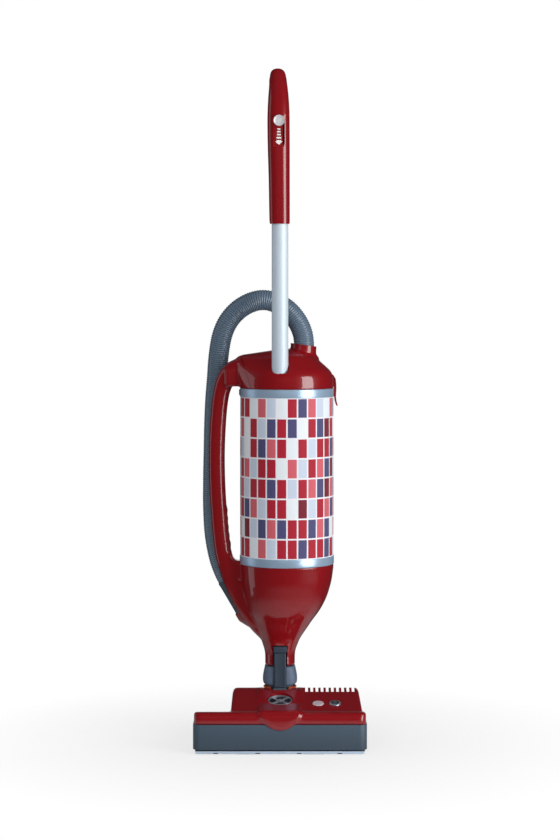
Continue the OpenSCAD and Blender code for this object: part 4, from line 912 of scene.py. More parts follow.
class VACUUM_OT_shells(bpy.types.Operator):
    """Body shell with its cone and carry handle, and the lid, parted along the sloping seam"""

    bl_idname = "vacuum.shells"
    bl_label = "Body shell and lid"

    def execute(self, context):
        port = (middle("hose_port").x, middle("hose_port").y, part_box("hose_port")[1].z)
        whole = wrap(cone_point, 144, 90)
        for part in (
            wrap(limb_point, 48, 180), crown(), self.shoulder_foot(), self.crotch(), self.inlet(),
            self.port_root(port),
        ):
            whole = merge(whole, part)
        whole = fuse(whole, context.scene.vacuum_sizes.voxel, 7)
        lid = combine(whole.copy(), lid_region(0.2 * MM), "INTERSECT")
        self.seam_shadow(whole.copy())
        body = combine(whole, lid_region(-0.2 * MM, 0.9 * MM))
        for cutter in self.body_cuts():
            body = combine(body, cutter)
        piece(body, "body_shell_moulding", "body", "red_gloss", ["body_shell", "hose_inlet"], sharp=60)
        for cutter in self.lid_cuts(port):
            lid = combine(lid, cutter)
        piece(lid, "lid_shell_moulding", "lid", "red_gloss", ["lid_shell", "hose_port"], sharp=60)
        return {"FINISHED"}

    def seam_shadow(self, core):
        """Near-black wall deep in the seam: painted shade in the gap, which also keeps light from showing
        through it.
        """
        for vert in core.verts:
            vert.co -= vert.normal * 1.8 * MM
        slab = combine(lid_region(-0.3 * MM, 1 * MM), lid_region(0.3 * MM))
        slab = combine(slab, block((-0.1, -0.1, LID_Z + 4 * MM), (0, 0.1, ABOVE)), "INTERSECT")
        piece(combine(core, slab, "INTERSECT"), "seam_shade_wall", "body", "black_plastic", (), "black_shade_and_print")

    def shoulder_foot(self):
        """Flat underside of the shoulder, beside the upper trim ring."""
        return block((-100 * MM, -27 * MM, 650 * MM), (-66 * MM, 27 * MM, 684 * MM), 5 * MM)

    def crotch(self):
        """Web that closes the loop of the carry handle below, beside the lower trim ring."""
        outline = [
            (-100, 295), (-66, 295), (-66, 331), (-78, 331), (-82, 332.5), (-85, 336), (-87.5, 343),
            (-100, 350),
        ]
        bm = prism([(x * MM, z * MM) for x, z in outline], "Y", -17 * MM, 17 * MM)
        round_edges(bm, 5 * MM, 3, 60)
        return bm

    def inlet_axis(self):
        """A function for the point at a distance past the hose's lower end."""
        end, start = Vector(HOSE_POINTS[-1]) * MM, Vector(HOSE_POINTS[-5]) * MM
        along = (end - start).normalized()
        return lambda distance: end + distance * along

    def inlet(self):
        """Socket of the cuff at the cone's left, tapered into the shell."""
        past = self.inlet_axis()
        outer = HOSE_R + 3.7 * MM
        bm = rod(past(-6 * MM), past(9.5 * MM), outer, 72)
        return rod(past(9.5 * MM), past(37.5 * MM), outer, 72, 8 * MM, bm)

    def port_root(self, port):
        """Collar that the hose leaves the lid through, with the flare at its foot."""
        x, y, top = port
        foot, end = (x - 1.5 * MM, y, LID_Z + 30 * MM), (x - 0.5 * MM, y, top + 8 * MM)
        flare = [(0, 40), (30, 40), (30, 56), (26, 60), (23.5, 66), (0, 66)]
        bm = rod(foot, end, 22.5 * MM, 72, 24.2 * MM)
        return lathe([(r * MM, LID_Z + z * MM) for r, z in flare], 72, (x - 2 * MM, y), bm)

    def hinge_hole(self):
        return rod((SEAM_X, -10.3 * MM, HINGE_Z), (SEAM_X, 10.3 * MM, HINGE_Z), 2 * MM, 32)

    def body_cuts(self):
        """Slot of the neck's bar, seat of the collar, socket of the cuff and hole of the hinge."""
        half, top = 13.6 * MM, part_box("neck_button")[1].z + 1.6 * MM
        yield block((-half, -80 * MM, 0.1), (half, -14 * MM, top), 1.2 * MM)
        yield rod((0, 0, 0.1), (0, 0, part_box("neck_collar")[1].z + 0.3 * MM), 31.5 * MM, 64)
        past = self.inlet_axis()
        yield rod(past(-90 * MM), past(CUFF_IN + 0.5 * MM), HOSE_R + 2.3 * MM, 72)
        yield self.hinge_hole()

    def lid_cuts(self, port):
        """Port's rim and bore, hollow, the tube's socket and recess, and seats of the hinge and latch."""
        x, y, top = port
        tilt = Matrix.Translation((x, y, top - 1.5 * MM)) @ Matrix.Rotation(math.radians(8), 4, "Y")
        yield moved(block((-0.1, -0.1, 0), (0.1, 0.1, 0.1)), tilt)
        yield rod((x, y, LID_Z - 0.01), (x, y, ABOVE), 19.7 * MM, 64)
        wall = 3.2 * MM
        profile = [
            (max(CONE_TOP_R * r - wall, 0), LID_Z + LID_H * h - wall * h)
            for r, h in smooth_profile(DOME, 3)
        ]
        profile = [(0, LID_Z - 5 * MM), (profile[0][0], LID_Z - 5 * MM)] + profile
        hollow = lathe(profile, 96, (BODY_X, 0))
        hollow = combine(hollow, rod((0, TUBE_Y, LID_Z - 0.01), (0, TUBE_Y, 0.8), TUBE_R + 4 * MM, 64))
        yield combine(hollow, rod((x, y, LID_Z + 10 * MM), (x, y, 0.8), 23 * MM, 64))
        yield rod((0, TUBE_Y, LID_Z + 8 * MM), (0, TUBE_Y, ABOVE), TUBE_R + 0.3 * MM, 96)
        half, low, corner = TUBE_R + 0.6 * MM, 675.5 * MM, 9 * MM
        outline = [*corners(-half, half, low, corner, 8), (half, 0.75), (-half, 0.75)]
        yield prism(outline, "Y", -0.12, TUBE_Y)
        yield self.hinge_hole()
        yield block((98 * MM, -12 * MM, 648 * MM), (0.12, 12 * MM, 672 * MM))


class VACUUM_OT_lid_fittings(bpy.types.Operator):
    """Latch, hinge and handle tube of the lid"""

    bl_idname = "vacuum.lid_fittings"
    bl_label = "Latch, hinge and tube"

    def execute(self, context):
        self.latch()
        self.hinge()
        self.tube()
        return {"FINISHED"}

    def hinge(self):
        """Barrels of the hinge, sunk in the shoulder: two of the body's and, between them, the lid's."""
        outer = merge(self.barrel(-10 * MM, -5.2 * MM), self.barrel(5.2 * MM, 10 * MM))
        piece(outer, "hinge_barrels", "body", "red_gloss", ["hinge_knuckles"])
        piece(self.barrel(-4.8 * MM, 4.8 * MM), "hinge_middle", "lid", "red_gloss", ["hinge_pin"])

    def barrel(self, y0, y1):
        bm = rod((SEAM_X, y0, HINGE_Z), (SEAM_X, y1, HINGE_Z), 1.7 * MM, 32)
        round_edges(bm, 0.3 * MM, 2, 50)
        return bm

    def latch(self):
        """Strap of the latch, which hugs the dome and bows out at its tip, on a seat painted near-black as
        the shade of the gap behind it.
        """
        outer = [
            (96.2, 672.0), (98.9, 669.2), (101.2, 664.5), (102.7, 658.5), (103.3, 647.0), (102.9, 638.0),
            (102.7, 630.0), (103.7, 622.5), (105.8, 614.6),
        ]
        inner = [
            (104.6, 613.8), (102.6, 616.0), (100.4, 622.5), (99.2, 630.0), (98.7, 640.0), (98.8, 650.0),
            (98.4, 658.0), (97.3, 664.0), (95.2, 669.0),
        ]
        points = smooth_profile(outer, 4) + smooth_profile(inner, 4)
        bm = prism([(x * MM, z * MM) for x, z in points], "Y", -10 * MM, 10 * MM)
        round_edges(bm, 0.7 * MM, 3, 60)
        piece(bm, "latch_strap", "lid_latch", "red_gloss", ["lid_latch"])
        # near-black seat behind the strap: painted shade of the gap
        bm = block((95 * MM, -11.5 * MM, 649 * MM), (98.6 * MM, 11.5 * MM, 668 * MM), 1 * MM)
        bm = rod((101 * MM, -12 * MM, 663.4 * MM), (101 * MM, 12 * MM, 663.4 * MM), 1.2 * MM, 24, None, bm)
        piece(bm, "latch_seat_shade", "lid", "black_plastic", ["latch_bracket"], "black_shade_and_print")

    def tube(self):
        """Anodised tube with a rounded lower end."""
        low, high, inner = TUBE_LO.z, TUBE_HI.z, TUBE_R - 2 * MM
        soft, near = 1.2 * MM, 0.35 * MM
        profile = [
            (inner, low), (TUBE_R - soft, low), (TUBE_R - near, low + near), (TUBE_R, low + soft),
            (TUBE_R, high), (inner, high),
        ]
        piece(lathe(profile, 96, (0, TUBE_Y)), "handle_tube_drawn", "lid", "tube_metal", ["handle_tube"])


# ------------------------------------------------------------------ grip

GRIP_TALL = 280 * MM
# Sections of the grip: share of its height, X and Y of its middle, half width and half depth, in mm
GRIP_STEPS = [
    (0.000, -0.5, 0, 17.6, 17.6), (0.012, -0.6, 0, 18.3, 18.3), (0.045, -0.8, 0, 18.6, 18.8),
    (0.30, -1.5, 0, 19.2, 19.5), (0.50, -2.3, 0, 20, 20), (0.66, -2.7, 1.5, 20.2, 20),
    (0.74, -2.7, 5, 19.8, 19.2), (0.82, -2.8, 11, 18.6, 18), (0.89, -3.1, 18.5, 16.9, 16.5),
    (0.945, -3.6, 26, 15.4, 14.2), (0.98, -4, 32, 13.4, 11.5), (0.994, -4.1, 34.4, 10.4, 8.4),
    (1.0, -4.2, 35, 7.6, 6),
]


def grip_point(turn, rise, swell=0.0):
    """Surface of the grip, or of a skin that stands off it."""
    _, x, y, wide, deep = between(GRIP_STEPS, rise)
    across, depth = oval(turn, wide + swell, deep + swell, 2.35)
    height = (GRIP_Z + rise * GRIP_TALL) / MM
    return Vector((x + across, TUBE_Y / MM + y + depth, height - depth * 0.55 * y / 30)) * MM


class VACUUM_OT_grip(bpy.types.Operator):
    """Grip with its soft pad, slider track, arrow and power slider"""

    bl_idname = "vacuum.grip"
    bl_label = "Grip and slider"

    def execute(self, context):
        x, z = middle("power_slider").x, middle("power_slider").z
        face = TUBE_Y - 18.3 * MM
        half, travel = 10.6 * MM, 26 * MM
        track = block((x - half, face - 0.03, z - travel - 22 * MM), (x + half, face, z + 12 * MM), 1 * MM)
        grip = combine(wrap(grip_point, 96, 160), track)
        left, right, low, high = x + 7.2 * MM, x + 10.4 * MM, z - 43.5 * MM, z + 3 * MM
        grip = combine(grip, block((left, face - 0.01, low), (right, face + 5 * MM, high), 0.5 * MM))
        # near-black floor in the slider's slot: painted shade
        floor = block((left + 0.1 * MM, face + 3.6 * MM, low), (right - 0.1 * MM, face + 4.9 * MM, high))
        piece(floor, "slider_slot_shade", "lid", "black_plastic", (), "black_shade_and_print")
        piece(grip, "grip_moulding", "lid", "red_gloss", ["grip"], sharp=32)

        def pad_point(turn, rise):
            height = 0.42 + 0.54 * rise
            swell = 1.2 * min(1, 12 * rise, 12 * (1 - rise)) - 0.2
            reach = 0.37 + 0.1 * max(0, 1 - abs(height - 0.945) / 0.03)
            return grip_point(0.06 + reach * turn, height, swell)

        pad = wrap_open(pad_point, 48, 90)
        thicken(piece(pad, "grip_pad_soft", "lid", "grip_rubber", ["grip_pad"], sharp=60), 1.2 * MM)
        self.slider(x, z, face)
        self.arrow(x, z, face)
        return {"FINISHED"}

    def slider(self, x, z, face):
        """Round knob with a turned rim and a shallow dish."""
        r = 10 * MM
        profile = [
            (0, 2.6 * MM), (0.45 * r, 2.7 * MM), (0.8 * r, 3.3 * MM), (0.88 * r, 3.9 * MM),
            (0.95 * r, 3.9 * MM), (r, 3.2 * MM), (r, 0.15 * MM), (0, 0.15 * MM),
        ]
        place = Matrix.Translation((x, face, z)) @ Matrix.Rotation(math.pi / 2, 4, "X")
        knob = moved(lathe(profile, 72), place)
        nodes = ["power_slider"]
        piece(knob, "power_slider_knob", "power_slider", "silver_plastic", nodes, "pearl_plastic", 50)

    def arrow(self, x, z, face):
        """Printed arrow of growing dashes that points down, on the slider's track."""
        low = face - 0.12 * MM
        tip = z - 35.4 * MM
        half, wide, neck = 4.1 * MM, 6.4 * MM, 2.4 * MM
        outline = [
            (x - half, tip), (x + half, tip), (x + half, tip - 2 * MM), (x + wide, tip - neck),
            (x, tip - 8.4 * MM), (x - wide, tip - neck), (x - half, tip - 2 * MM),
        ]
        bm = bmesh.new()
        for top, bottom, reach in ((14.1, 16.5, 2.7), (19, 21.7, 3), (24.2, 26.9, 3.4), (29.6, 32.6, 4.3)):
            left, right = x - reach * MM, x + reach * MM
            bm = block((left, low, z - bottom * MM), (right, face, z - top * MM), 0, 1, bm)
        bm = merge(bm, prism(outline, "Y", low, face))
        piece(bm, "arrow_print", "lid", "white_plastic", (), "white_ink")


# ------------------------------------------------------------------ power head


def nose_z(y):
    """Height of the nose's upper face, on which the dial lies."""
    return DIAL_Z + 0.5 * MM + (y - DIAL_Y) * math.tan(NOSE_TILT)


def arc(cx, cz, radius, start, end, steps):
    """Points of an arc, from one angle to another in degrees."""
    return [
        (
            cx + radius * math.cos(math.radians(start + (end - start) * k / steps)),
            cz + radius * math.sin(math.radians(start + (end - start) * k / steps)),
        )
        for k in range(steps + 1)
    ]


def corners(left, right, y, radius, steps):
    """Two rounded corners of an outline, from its left side over its lower edge to its right side."""
    first = arc(left + radius, y + radius, radius, 180, 270, steps)
    return first + arc(right - radius, y + radius, radius, 270, 360, steps)


class VACUUM_OT_head_cover(bpy.types.Operator):
    """Cover of the power head: front band, sloping housing, collar, tongue and comb"""

    bl_idname = "vacuum.head_cover"
    bl_label = "Head cover"

    def execute(self, context):
        whole = self.band()
        for part in (self.housing(), self.collar(), self.tongue()):
            whole = merge(whole, part)
        whole = fuse(whole, context.scene.vacuum_sizes.voxel, 20)
        for cutter in self.cuts():
            whole = combine(whole, cutter)
        piece(whole, "head_cover_moulding", "head", "red_gloss", ["head_cover"], sharp=40)
        return {"FINISHED"}

    def band(self):
        back = HEAD_LO.y + 75 * MM
        edge = 10 * MM
        y0 = HEAD_LO.y + 0.5 * MM
        outline = [(y0, HEAD_HI.z + 0.4 * MM), (y0, BAND_Z - edge)]
        outline += arc(y0 + edge, BAND_Z - edge, edge, 180, 90, 10)
        outline += [(HEAD_LO.y + 18 * MM, BAND_Z), (back, BAND_Z - 14 * MM), (back, SOLE_TOP + 4 * MM)]
        outline += [(HEAD_LO.y + 6 * MM, SOLE_TOP + 4 * MM), (HEAD_LO.y + 6 * MM, HEAD_HI.z + 0.4 * MM)]
        x, y, corner, soft = HEAD_HI.x - 1.5 * MM, HEAD_LO.y + 0.4 * MM, 13 * MM, 4 * MM
        bm = prism(outline, "X", -0.2, 0.2)
        ends = [(-x, 0), *arc(-x + soft, BAND_Z - soft, soft, 180, 90, 6)]
        ends += [*arc(x - soft, BAND_Z - soft, soft, 90, 0, 6), (x, 0)]
        bm = combine(bm, prism(ends, "Y", -0.2, 0.05), "INTERSECT")
        plan = [*corners(-x, x, y, corner, 8), (x + 1 * MM, 0), (-x - 1 * MM, 0)]
        return combine(bm, prism(plan, "Z", 0, 0.1), "INTERSECT")

    def housing(self):
        outline = [(SLOPE_Y, SOLE_TOP), (SLOPE_Y, BAND_Z)]
        outline += arc(-14 * MM, CREST_Z - 25 * MM, 24 * MM, math.degrees(SLOPE) + 90, 20, 16)
        outline += [
            (HEAD_BACK - 4 * MM, BAND_Z - 20 * MM), (HEAD_BACK, BAND_Z - 34 * MM), (HEAD_BACK, SOLE_TOP),
        ]
        left, right = -90 * MM, 148 * MM
        bm = prism(outline, "X", left, right)
        crest = CREST_Z - 1 * MM
        ends = [(left, 0), (left, BAND_Z - 16 * MM), (left + 2 * MM, BAND_Z)]
        ends += arc(left + 14 * MM, crest - 10 * MM, 11 * MM, 165, 95, 8)
        ends += arc(right - 14 * MM, crest - 9 * MM, 10 * MM, 85, 12, 8)
        ends += [(right - 1 * MM, BAND_Z), (right, BAND_Z - 16 * MM), (right, 0)]
        return combine(bm, prism(ends, "Y", HEAD_LO.y, HEAD_BACK + 5 * MM), "INTERSECT")

    def collar(self):
        crest = CREST_Z - 1.6 * MM
        outline = [
            (SLOPE_Y + 4 * MM, BAND_Z - 10 * MM), (SLOPE_Y + 4 * MM, BAND_Z), (-32 * MM, crest),
            (-18 * MM, crest + 1.5 * MM), (-4 * MM, crest + 0.5 * MM), (14 * MM, crest - 12 * MM),
            (14 * MM, BAND_Z - 20 * MM),
        ]
        bm = prism(outline, "X", -43 * MM, 43 * MM)
        ends = [
            (-43 * MM, 0), (-43 * MM, BAND_Z), (-40 * MM, crest + 2 * MM), (40 * MM, crest + 2 * MM),
            (43 * MM, BAND_Z), (43 * MM, 0),
        ]
        return combine(bm, prism(ends, "Y", HEAD_LO.y, HEAD_BACK), "INTERSECT")

    def tongue(self):
        """Round-ended tongue from the dial down over the band and the bumper."""
        wide, centre, drop, steps = 39 * MM, 84 * MM, 42 * MM, 32
        bm = bmesh.new()
        front, back = HEAD_LO.y, -48 * MM
        for y, inset in (
            (front - 4.2 * MM, 10), (front - 4 * MM, 6), (front - 3.3 * MM, 3), (front - 2.2 * MM, 1.2),
            (front - 0.8 * MM, 0.2), (front, 0), (back, 0),
        ):
            half, deep = wide - inset * MM, drop - inset * MM
            turns = [math.pi * (1 + k / steps) for k in range(steps + 1)]
            points = [(half * math.cos(turn), centre + deep * math.sin(turn)) for turn in turns]
            for x, z in (*points, (half, centre + 24 * MM), (-half, centre + 24 * MM)):
                bm.verts.new((x, y, z))
        bmesh.ops.convex_hull(bm, input=bm.verts)
        bmesh.ops.delete(bm, geom=[v for v in bm.verts if not v.link_faces], context="VERTS")
        soft = 14 * MM
        end = math.degrees(NOSE_TILT) + 90
        nose = arc(front - 4.2 * MM + soft, 0, soft, 180, end, 10)
        rise = nose_z(nose[-1][0]) - nose[-1][1]
        nose = [(y, z + rise) for y, z in nose]
        outline = [(front - 4.2 * MM, 20 * MM), *nose, (back, nose_z(back)), (back, 20 * MM)]
        return combine(bm, prism(outline, "X", -0.1, 0.1), "INTERSECT")

    def cuts(self):
        """Neck's well, seats of the dial and buttons, slots of the comb, wheel arches and pedal gap."""
        yield rod((0, 0, 36 * MM), (0, 0, 0.15), 33 * MM, 72)
        yield block((-40 * MM, 0, 36 * MM), (40 * MM, 0.1, 0.15))
        centre = Vector((0, DIAL_Y, DIAL_Z))
        up = Vector((0, -math.sin(DIAL_TILT), math.cos(DIAL_TILT)))
        yield rod(centre - 3 * MM * up, centre + 20 * MM * up, DIAL_R + 0.6 * MM, 72)
        normal = Vector((0, -math.sin(SLOPE), math.cos(SLOPE)))
        for x in (BUTTON_X, LAMP_X):
            at = Vector((x, BUTTON_Y, slope_z(BUTTON_Y)))
            yield rod(at - 7 * MM * normal, at + 20 * MM * normal, 11 * MM, 64)
        fall = Matrix.Rotation(math.radians(-12), 4, "X")
        fall = Matrix.Translation((0, -30 * MM, CREST_Z - 6 * MM)) @ fall
        for i in range(10):
            x = 46 * MM + i * 9.4 * MM
            yield moved(block((x, -0.02, 0), (x + 5 * MM, 0.07, 0.03)), fall)
        for s in (-1, 1):
            yield block((s * 70 * MM - 7.5 * MM, 38 * MM, 0), (s * 70 * MM + 7.5 * MM, 0.1, 34 * MM))
        yield block((-23 * MM, HEAD_BACK - 20 * MM, 13 * MM), (23 * MM, 0.1, 30 * MM), 1 * MM)


class VACUUM_OT_head_trim(bpy.types.Operator):
    """Bumper, dial, round button and lamp of the power head"""

    bl_idname = "vacuum.head_trim"
    bl_label = "Bumper, dial and buttons"

    def execute(self, context):
        self.bumper()
        self.lip()
        self.dial()
        self.buttons()
        return {"FINISHED"}

    def bumper(self):
        lo, hi = HEAD_LO, HEAD_HI
        outer, inner, wall = 14 * MM, 10 * MM, 3.5 * MM
        hollow = corners(lo.x + wall, hi.x - wall, lo.y + wall, inner, 12)
        outline = [
            (lo.x, hi.y), *corners(lo.x, hi.x, lo.y, outer, 12), (hi.x, hi.y), (hi.x - wall, hi.y),
            *reversed(hollow), (lo.x + wall, hi.y),
        ]
        bm = prism(outline, "Z", lo.z, hi.z)
        round_edges(bm, 1.1 * MM, 3, 60)
        piece(bm, "bumper_moulding", "head", "bumper_rubber", ["bumper"])

    def lip(self):
        """Pale strip under the bumper's front, with four near-black blocks in its lower edge that paint the
        shade of notches.
        """
        lo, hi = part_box("lip_strip")
        bm = block(lo, (hi.x, hi.y, min(hi.z, lo.z + 4.6 * MM)), 0.7 * MM)
        piece(bm, "lip_strip_moulding", "head", "pale_plastic", ["lip_strip"])
        bm, y, z = None, lo.y, lo.z
        for x in (-114.5, -39.4, 34.1, 106.7):
            low, high = ((x - 4) * MM, y - 0.2 * MM, z + 0.3 * MM), ((x + 4) * MM, y + 1 * MM, z + 1.9 * MM)
            bm = block(low, high, 0, 1, bm)
        piece(bm, "lip_strip_notch_shade", "head", "black_plastic", (), "black_shade_and_print")

    def dial(self):
        """Rim, four arms and hub of the dial, over a floor in near-black painted shade."""
        r = DIAL_R
        place = Matrix.Translation((0, DIAL_Y, DIAL_Z)) @ Matrix.Rotation(DIAL_TILT, 4, "X")
        dial = lathe([
            (r - 2.8 * MM, 0.2 * MM), (r - 2.5 * MM, 2.3 * MM), (r - 1.7 * MM, 2.8 * MM),
            (r - 0.7 * MM, 2.4 * MM), (r, 1.4 * MM), (r, -2 * MM), (r - 2.8 * MM, -2 * MM),
        ])
        for k in range(4):
            arm = block((2 * MM, -1.9 * MM, -1 * MM), (r - 2 * MM, 1.9 * MM, 1.8 * MM), 0.7 * MM)
            dial = merge(dial, moved(arm, Matrix.Rotation(math.radians(45 + 90 * k), 4, "Z")))
        hub = [(0, 2.9), (4.5, 2.8), (6.3, 1.6), (6.3, -1), (0, -1)]
        hub = lathe([(out * MM, rise * MM) for out, rise in hub], 48)
        dial = moved(merge(dial, hub), place)
        piece(dial, "height_dial_wheel", "height_dial", "silver_plastic", ["height_dial"])
        reach, high, low = r - 2.6 * MM, -0.6 * MM, -1.8 * MM
        floor = lathe([(0, high), (reach, high), (reach, low), (0, low)], 72)
        piece(moved(floor, place), "height_dial_shade_floor", "height_dial", "black_plastic", (), "black_shade_and_print")

    def buttons(self):
        """Sprung button with its printed sign, and the lamp beside it."""
        normal = Matrix.Rotation(SLOPE, 4, "X")
        r = 10.5 * MM
        for x, name, body, slot, node, top in (
            (BUTTON_X, "brush_button_cap", "brush_button", "silver_plastic", "brush_button", 2.0 * MM),
            (LAMP_X, "status_lamp_lens", "head", "lamp_lens", "status_lamp", 1.0 * MM),
        ):
            place = Matrix.Translation((x, BUTTON_Y, slope_z(BUTTON_Y))) @ normal
            cap = lathe([
                (0, top - 0.1 * MM), (0.6 * r, top - 0.05 * MM), (0.82 * r, top), (0.93 * r, top - 0.4 * MM),
                (r, top - 1.4 * MM), (r, -4.4 * MM), (0, -4.4 * MM),
            ], 72)
            piece(moved(cap, place), name, body, slot, [node])
            if body == "brush_button":
                sign = moved(self.sign(r, top - 0.3 * MM, top + 0.1 * MM), place)
                piece(sign, "brush_button_mark", body, "black_plastic", (), "black_shade_and_print")

    def sign(self, r, low, high):
        """Ring with five bristles in it."""
        bm = lathe([(0.52 * r, high), (0.66 * r, high), (0.66 * r, low), (0.52 * r, low)], 64)
        for k in range(-2, 3):
            x = k * 2.1 * MM
            bm = block((x - 0.5 * MM, -3.4 * MM, low), (x + 0.5 * MM, 3.2 * MM, high), bm=bm)
        return bm


# ------------------------------------------------------------------ neck


class VACUUM_OT_neck(bpy.types.Operator):
    """Swivel neck: orange ring, collar, front bar with its groove, and the release button"""

    bl_idname = "vacuum.neck"
    bl_label = "Neck"

    def execute(self, context):
        lo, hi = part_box("neck_collar")
        rows = [
            (0.0, 24.2), (0.08, 26.0), (0.14, 29.4), (0.22, 31.0), (0.36, 31.4), (0.5, 31.1), (0.72, 29.6),
            (0.9, 28.2), (0.97, 27.6), (1.0, 26.6),
        ]

        def place(turn, rise):
            radius = between(rows, rise)[1] * MM
            x, y = oval(turn, radius, min(radius, 29 * MM), 3.6)
            return Vector((x, y, lo.z + rise * (hi.z - lo.z)))

        bar_lo, bar_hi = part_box("neck_connector")
        half, bar_top, gap, inset = 10.8 * MM, 165 * MM, 0.8 * MM, 3.2 * MM
        under, over = lo.z - 0.01, hi.z + 0.01
        slot = block((-half - gap, -0.06, under), (half + gap, -14 * MM, over))
        collar = combine(wrap(place, 96, 40), slot)
        collar = combine(collar, rod((0, 0, under), (0, 0, over), 18.2 * MM, 64))
        piece(collar, "neck_collar_block", "body", "slate_plastic", ["neck_collar"], "slate_painted_light", 40)
        bar = block((-half, bar_lo.y, lo.z), (half, -15 * MM, bar_top), 1.6 * MM, 4)
        groove_low = (-half + inset, bar_lo.y - 0.01, lo.z + 4 * MM)
        groove_high = (half - inset, bar_lo.y + 0.5 * MM, bar_top - 3 * MM)
        bar = combine(bar, block(groove_low, groove_high, 0.4 * MM))
        r0, r1 = 15 * MM, 17.95 * MM
        bar = merge(bar, lathe([(r0, lo.z), (r1, lo.z), (r1, bar_hi.z), (r0, bar_hi.z)], 72))
        piece(bar, "neck_bar", "body", "slate_plastic", ["neck_connector"], "slate_painted_shade", 35)
        button = block(*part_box("neck_button"), 1.6 * MM, 4)
        piece(button, "neck_button_cap", "neck_button", "slate_plastic", ["neck_button"], "slate_painted_shade")
        self.ring()
        return {"FINISHED"}

    def ring(self):
        """Flared ring that the collar turns in, open at the front for the bar."""
        lo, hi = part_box("swivel_ring")
        r, bore, step = hi.x, 21.2 * MM, lo.z + 4.7 * MM
        ring = lathe([
            (bore, lo.z), (r - 5.5 * MM, lo.z), (r - 3.4 * MM, lo.z + 1.6 * MM),
            (r - 1.6 * MM, lo.z + 4 * MM), (r, hi.z - 0.8 * MM), (r - 0.8 * MM, hi.z),
            (r - 2.6 * MM, hi.z), (r - 5 * MM, step), (bore, step),
        ])
        ring = combine(ring, block((-16 * MM, -0.06, lo.z - 0.01), (16 * MM, -13 * MM, hi.z + 0.01)))
        piece(ring, "swivel_ring_orange", "neck", "orange_plastic", ["swivel_ring"], sharp=35)


# ------------------------------------------------------------------ stage


def blend_of(tree, share, first, second):
    """Node that mixes the shaders of two others by a share."""
    inputs = {0: share, 1: first.outputs[0], 2: second.outputs[0]}
    return add(tree, "ShaderNodeMixShader", inputs)


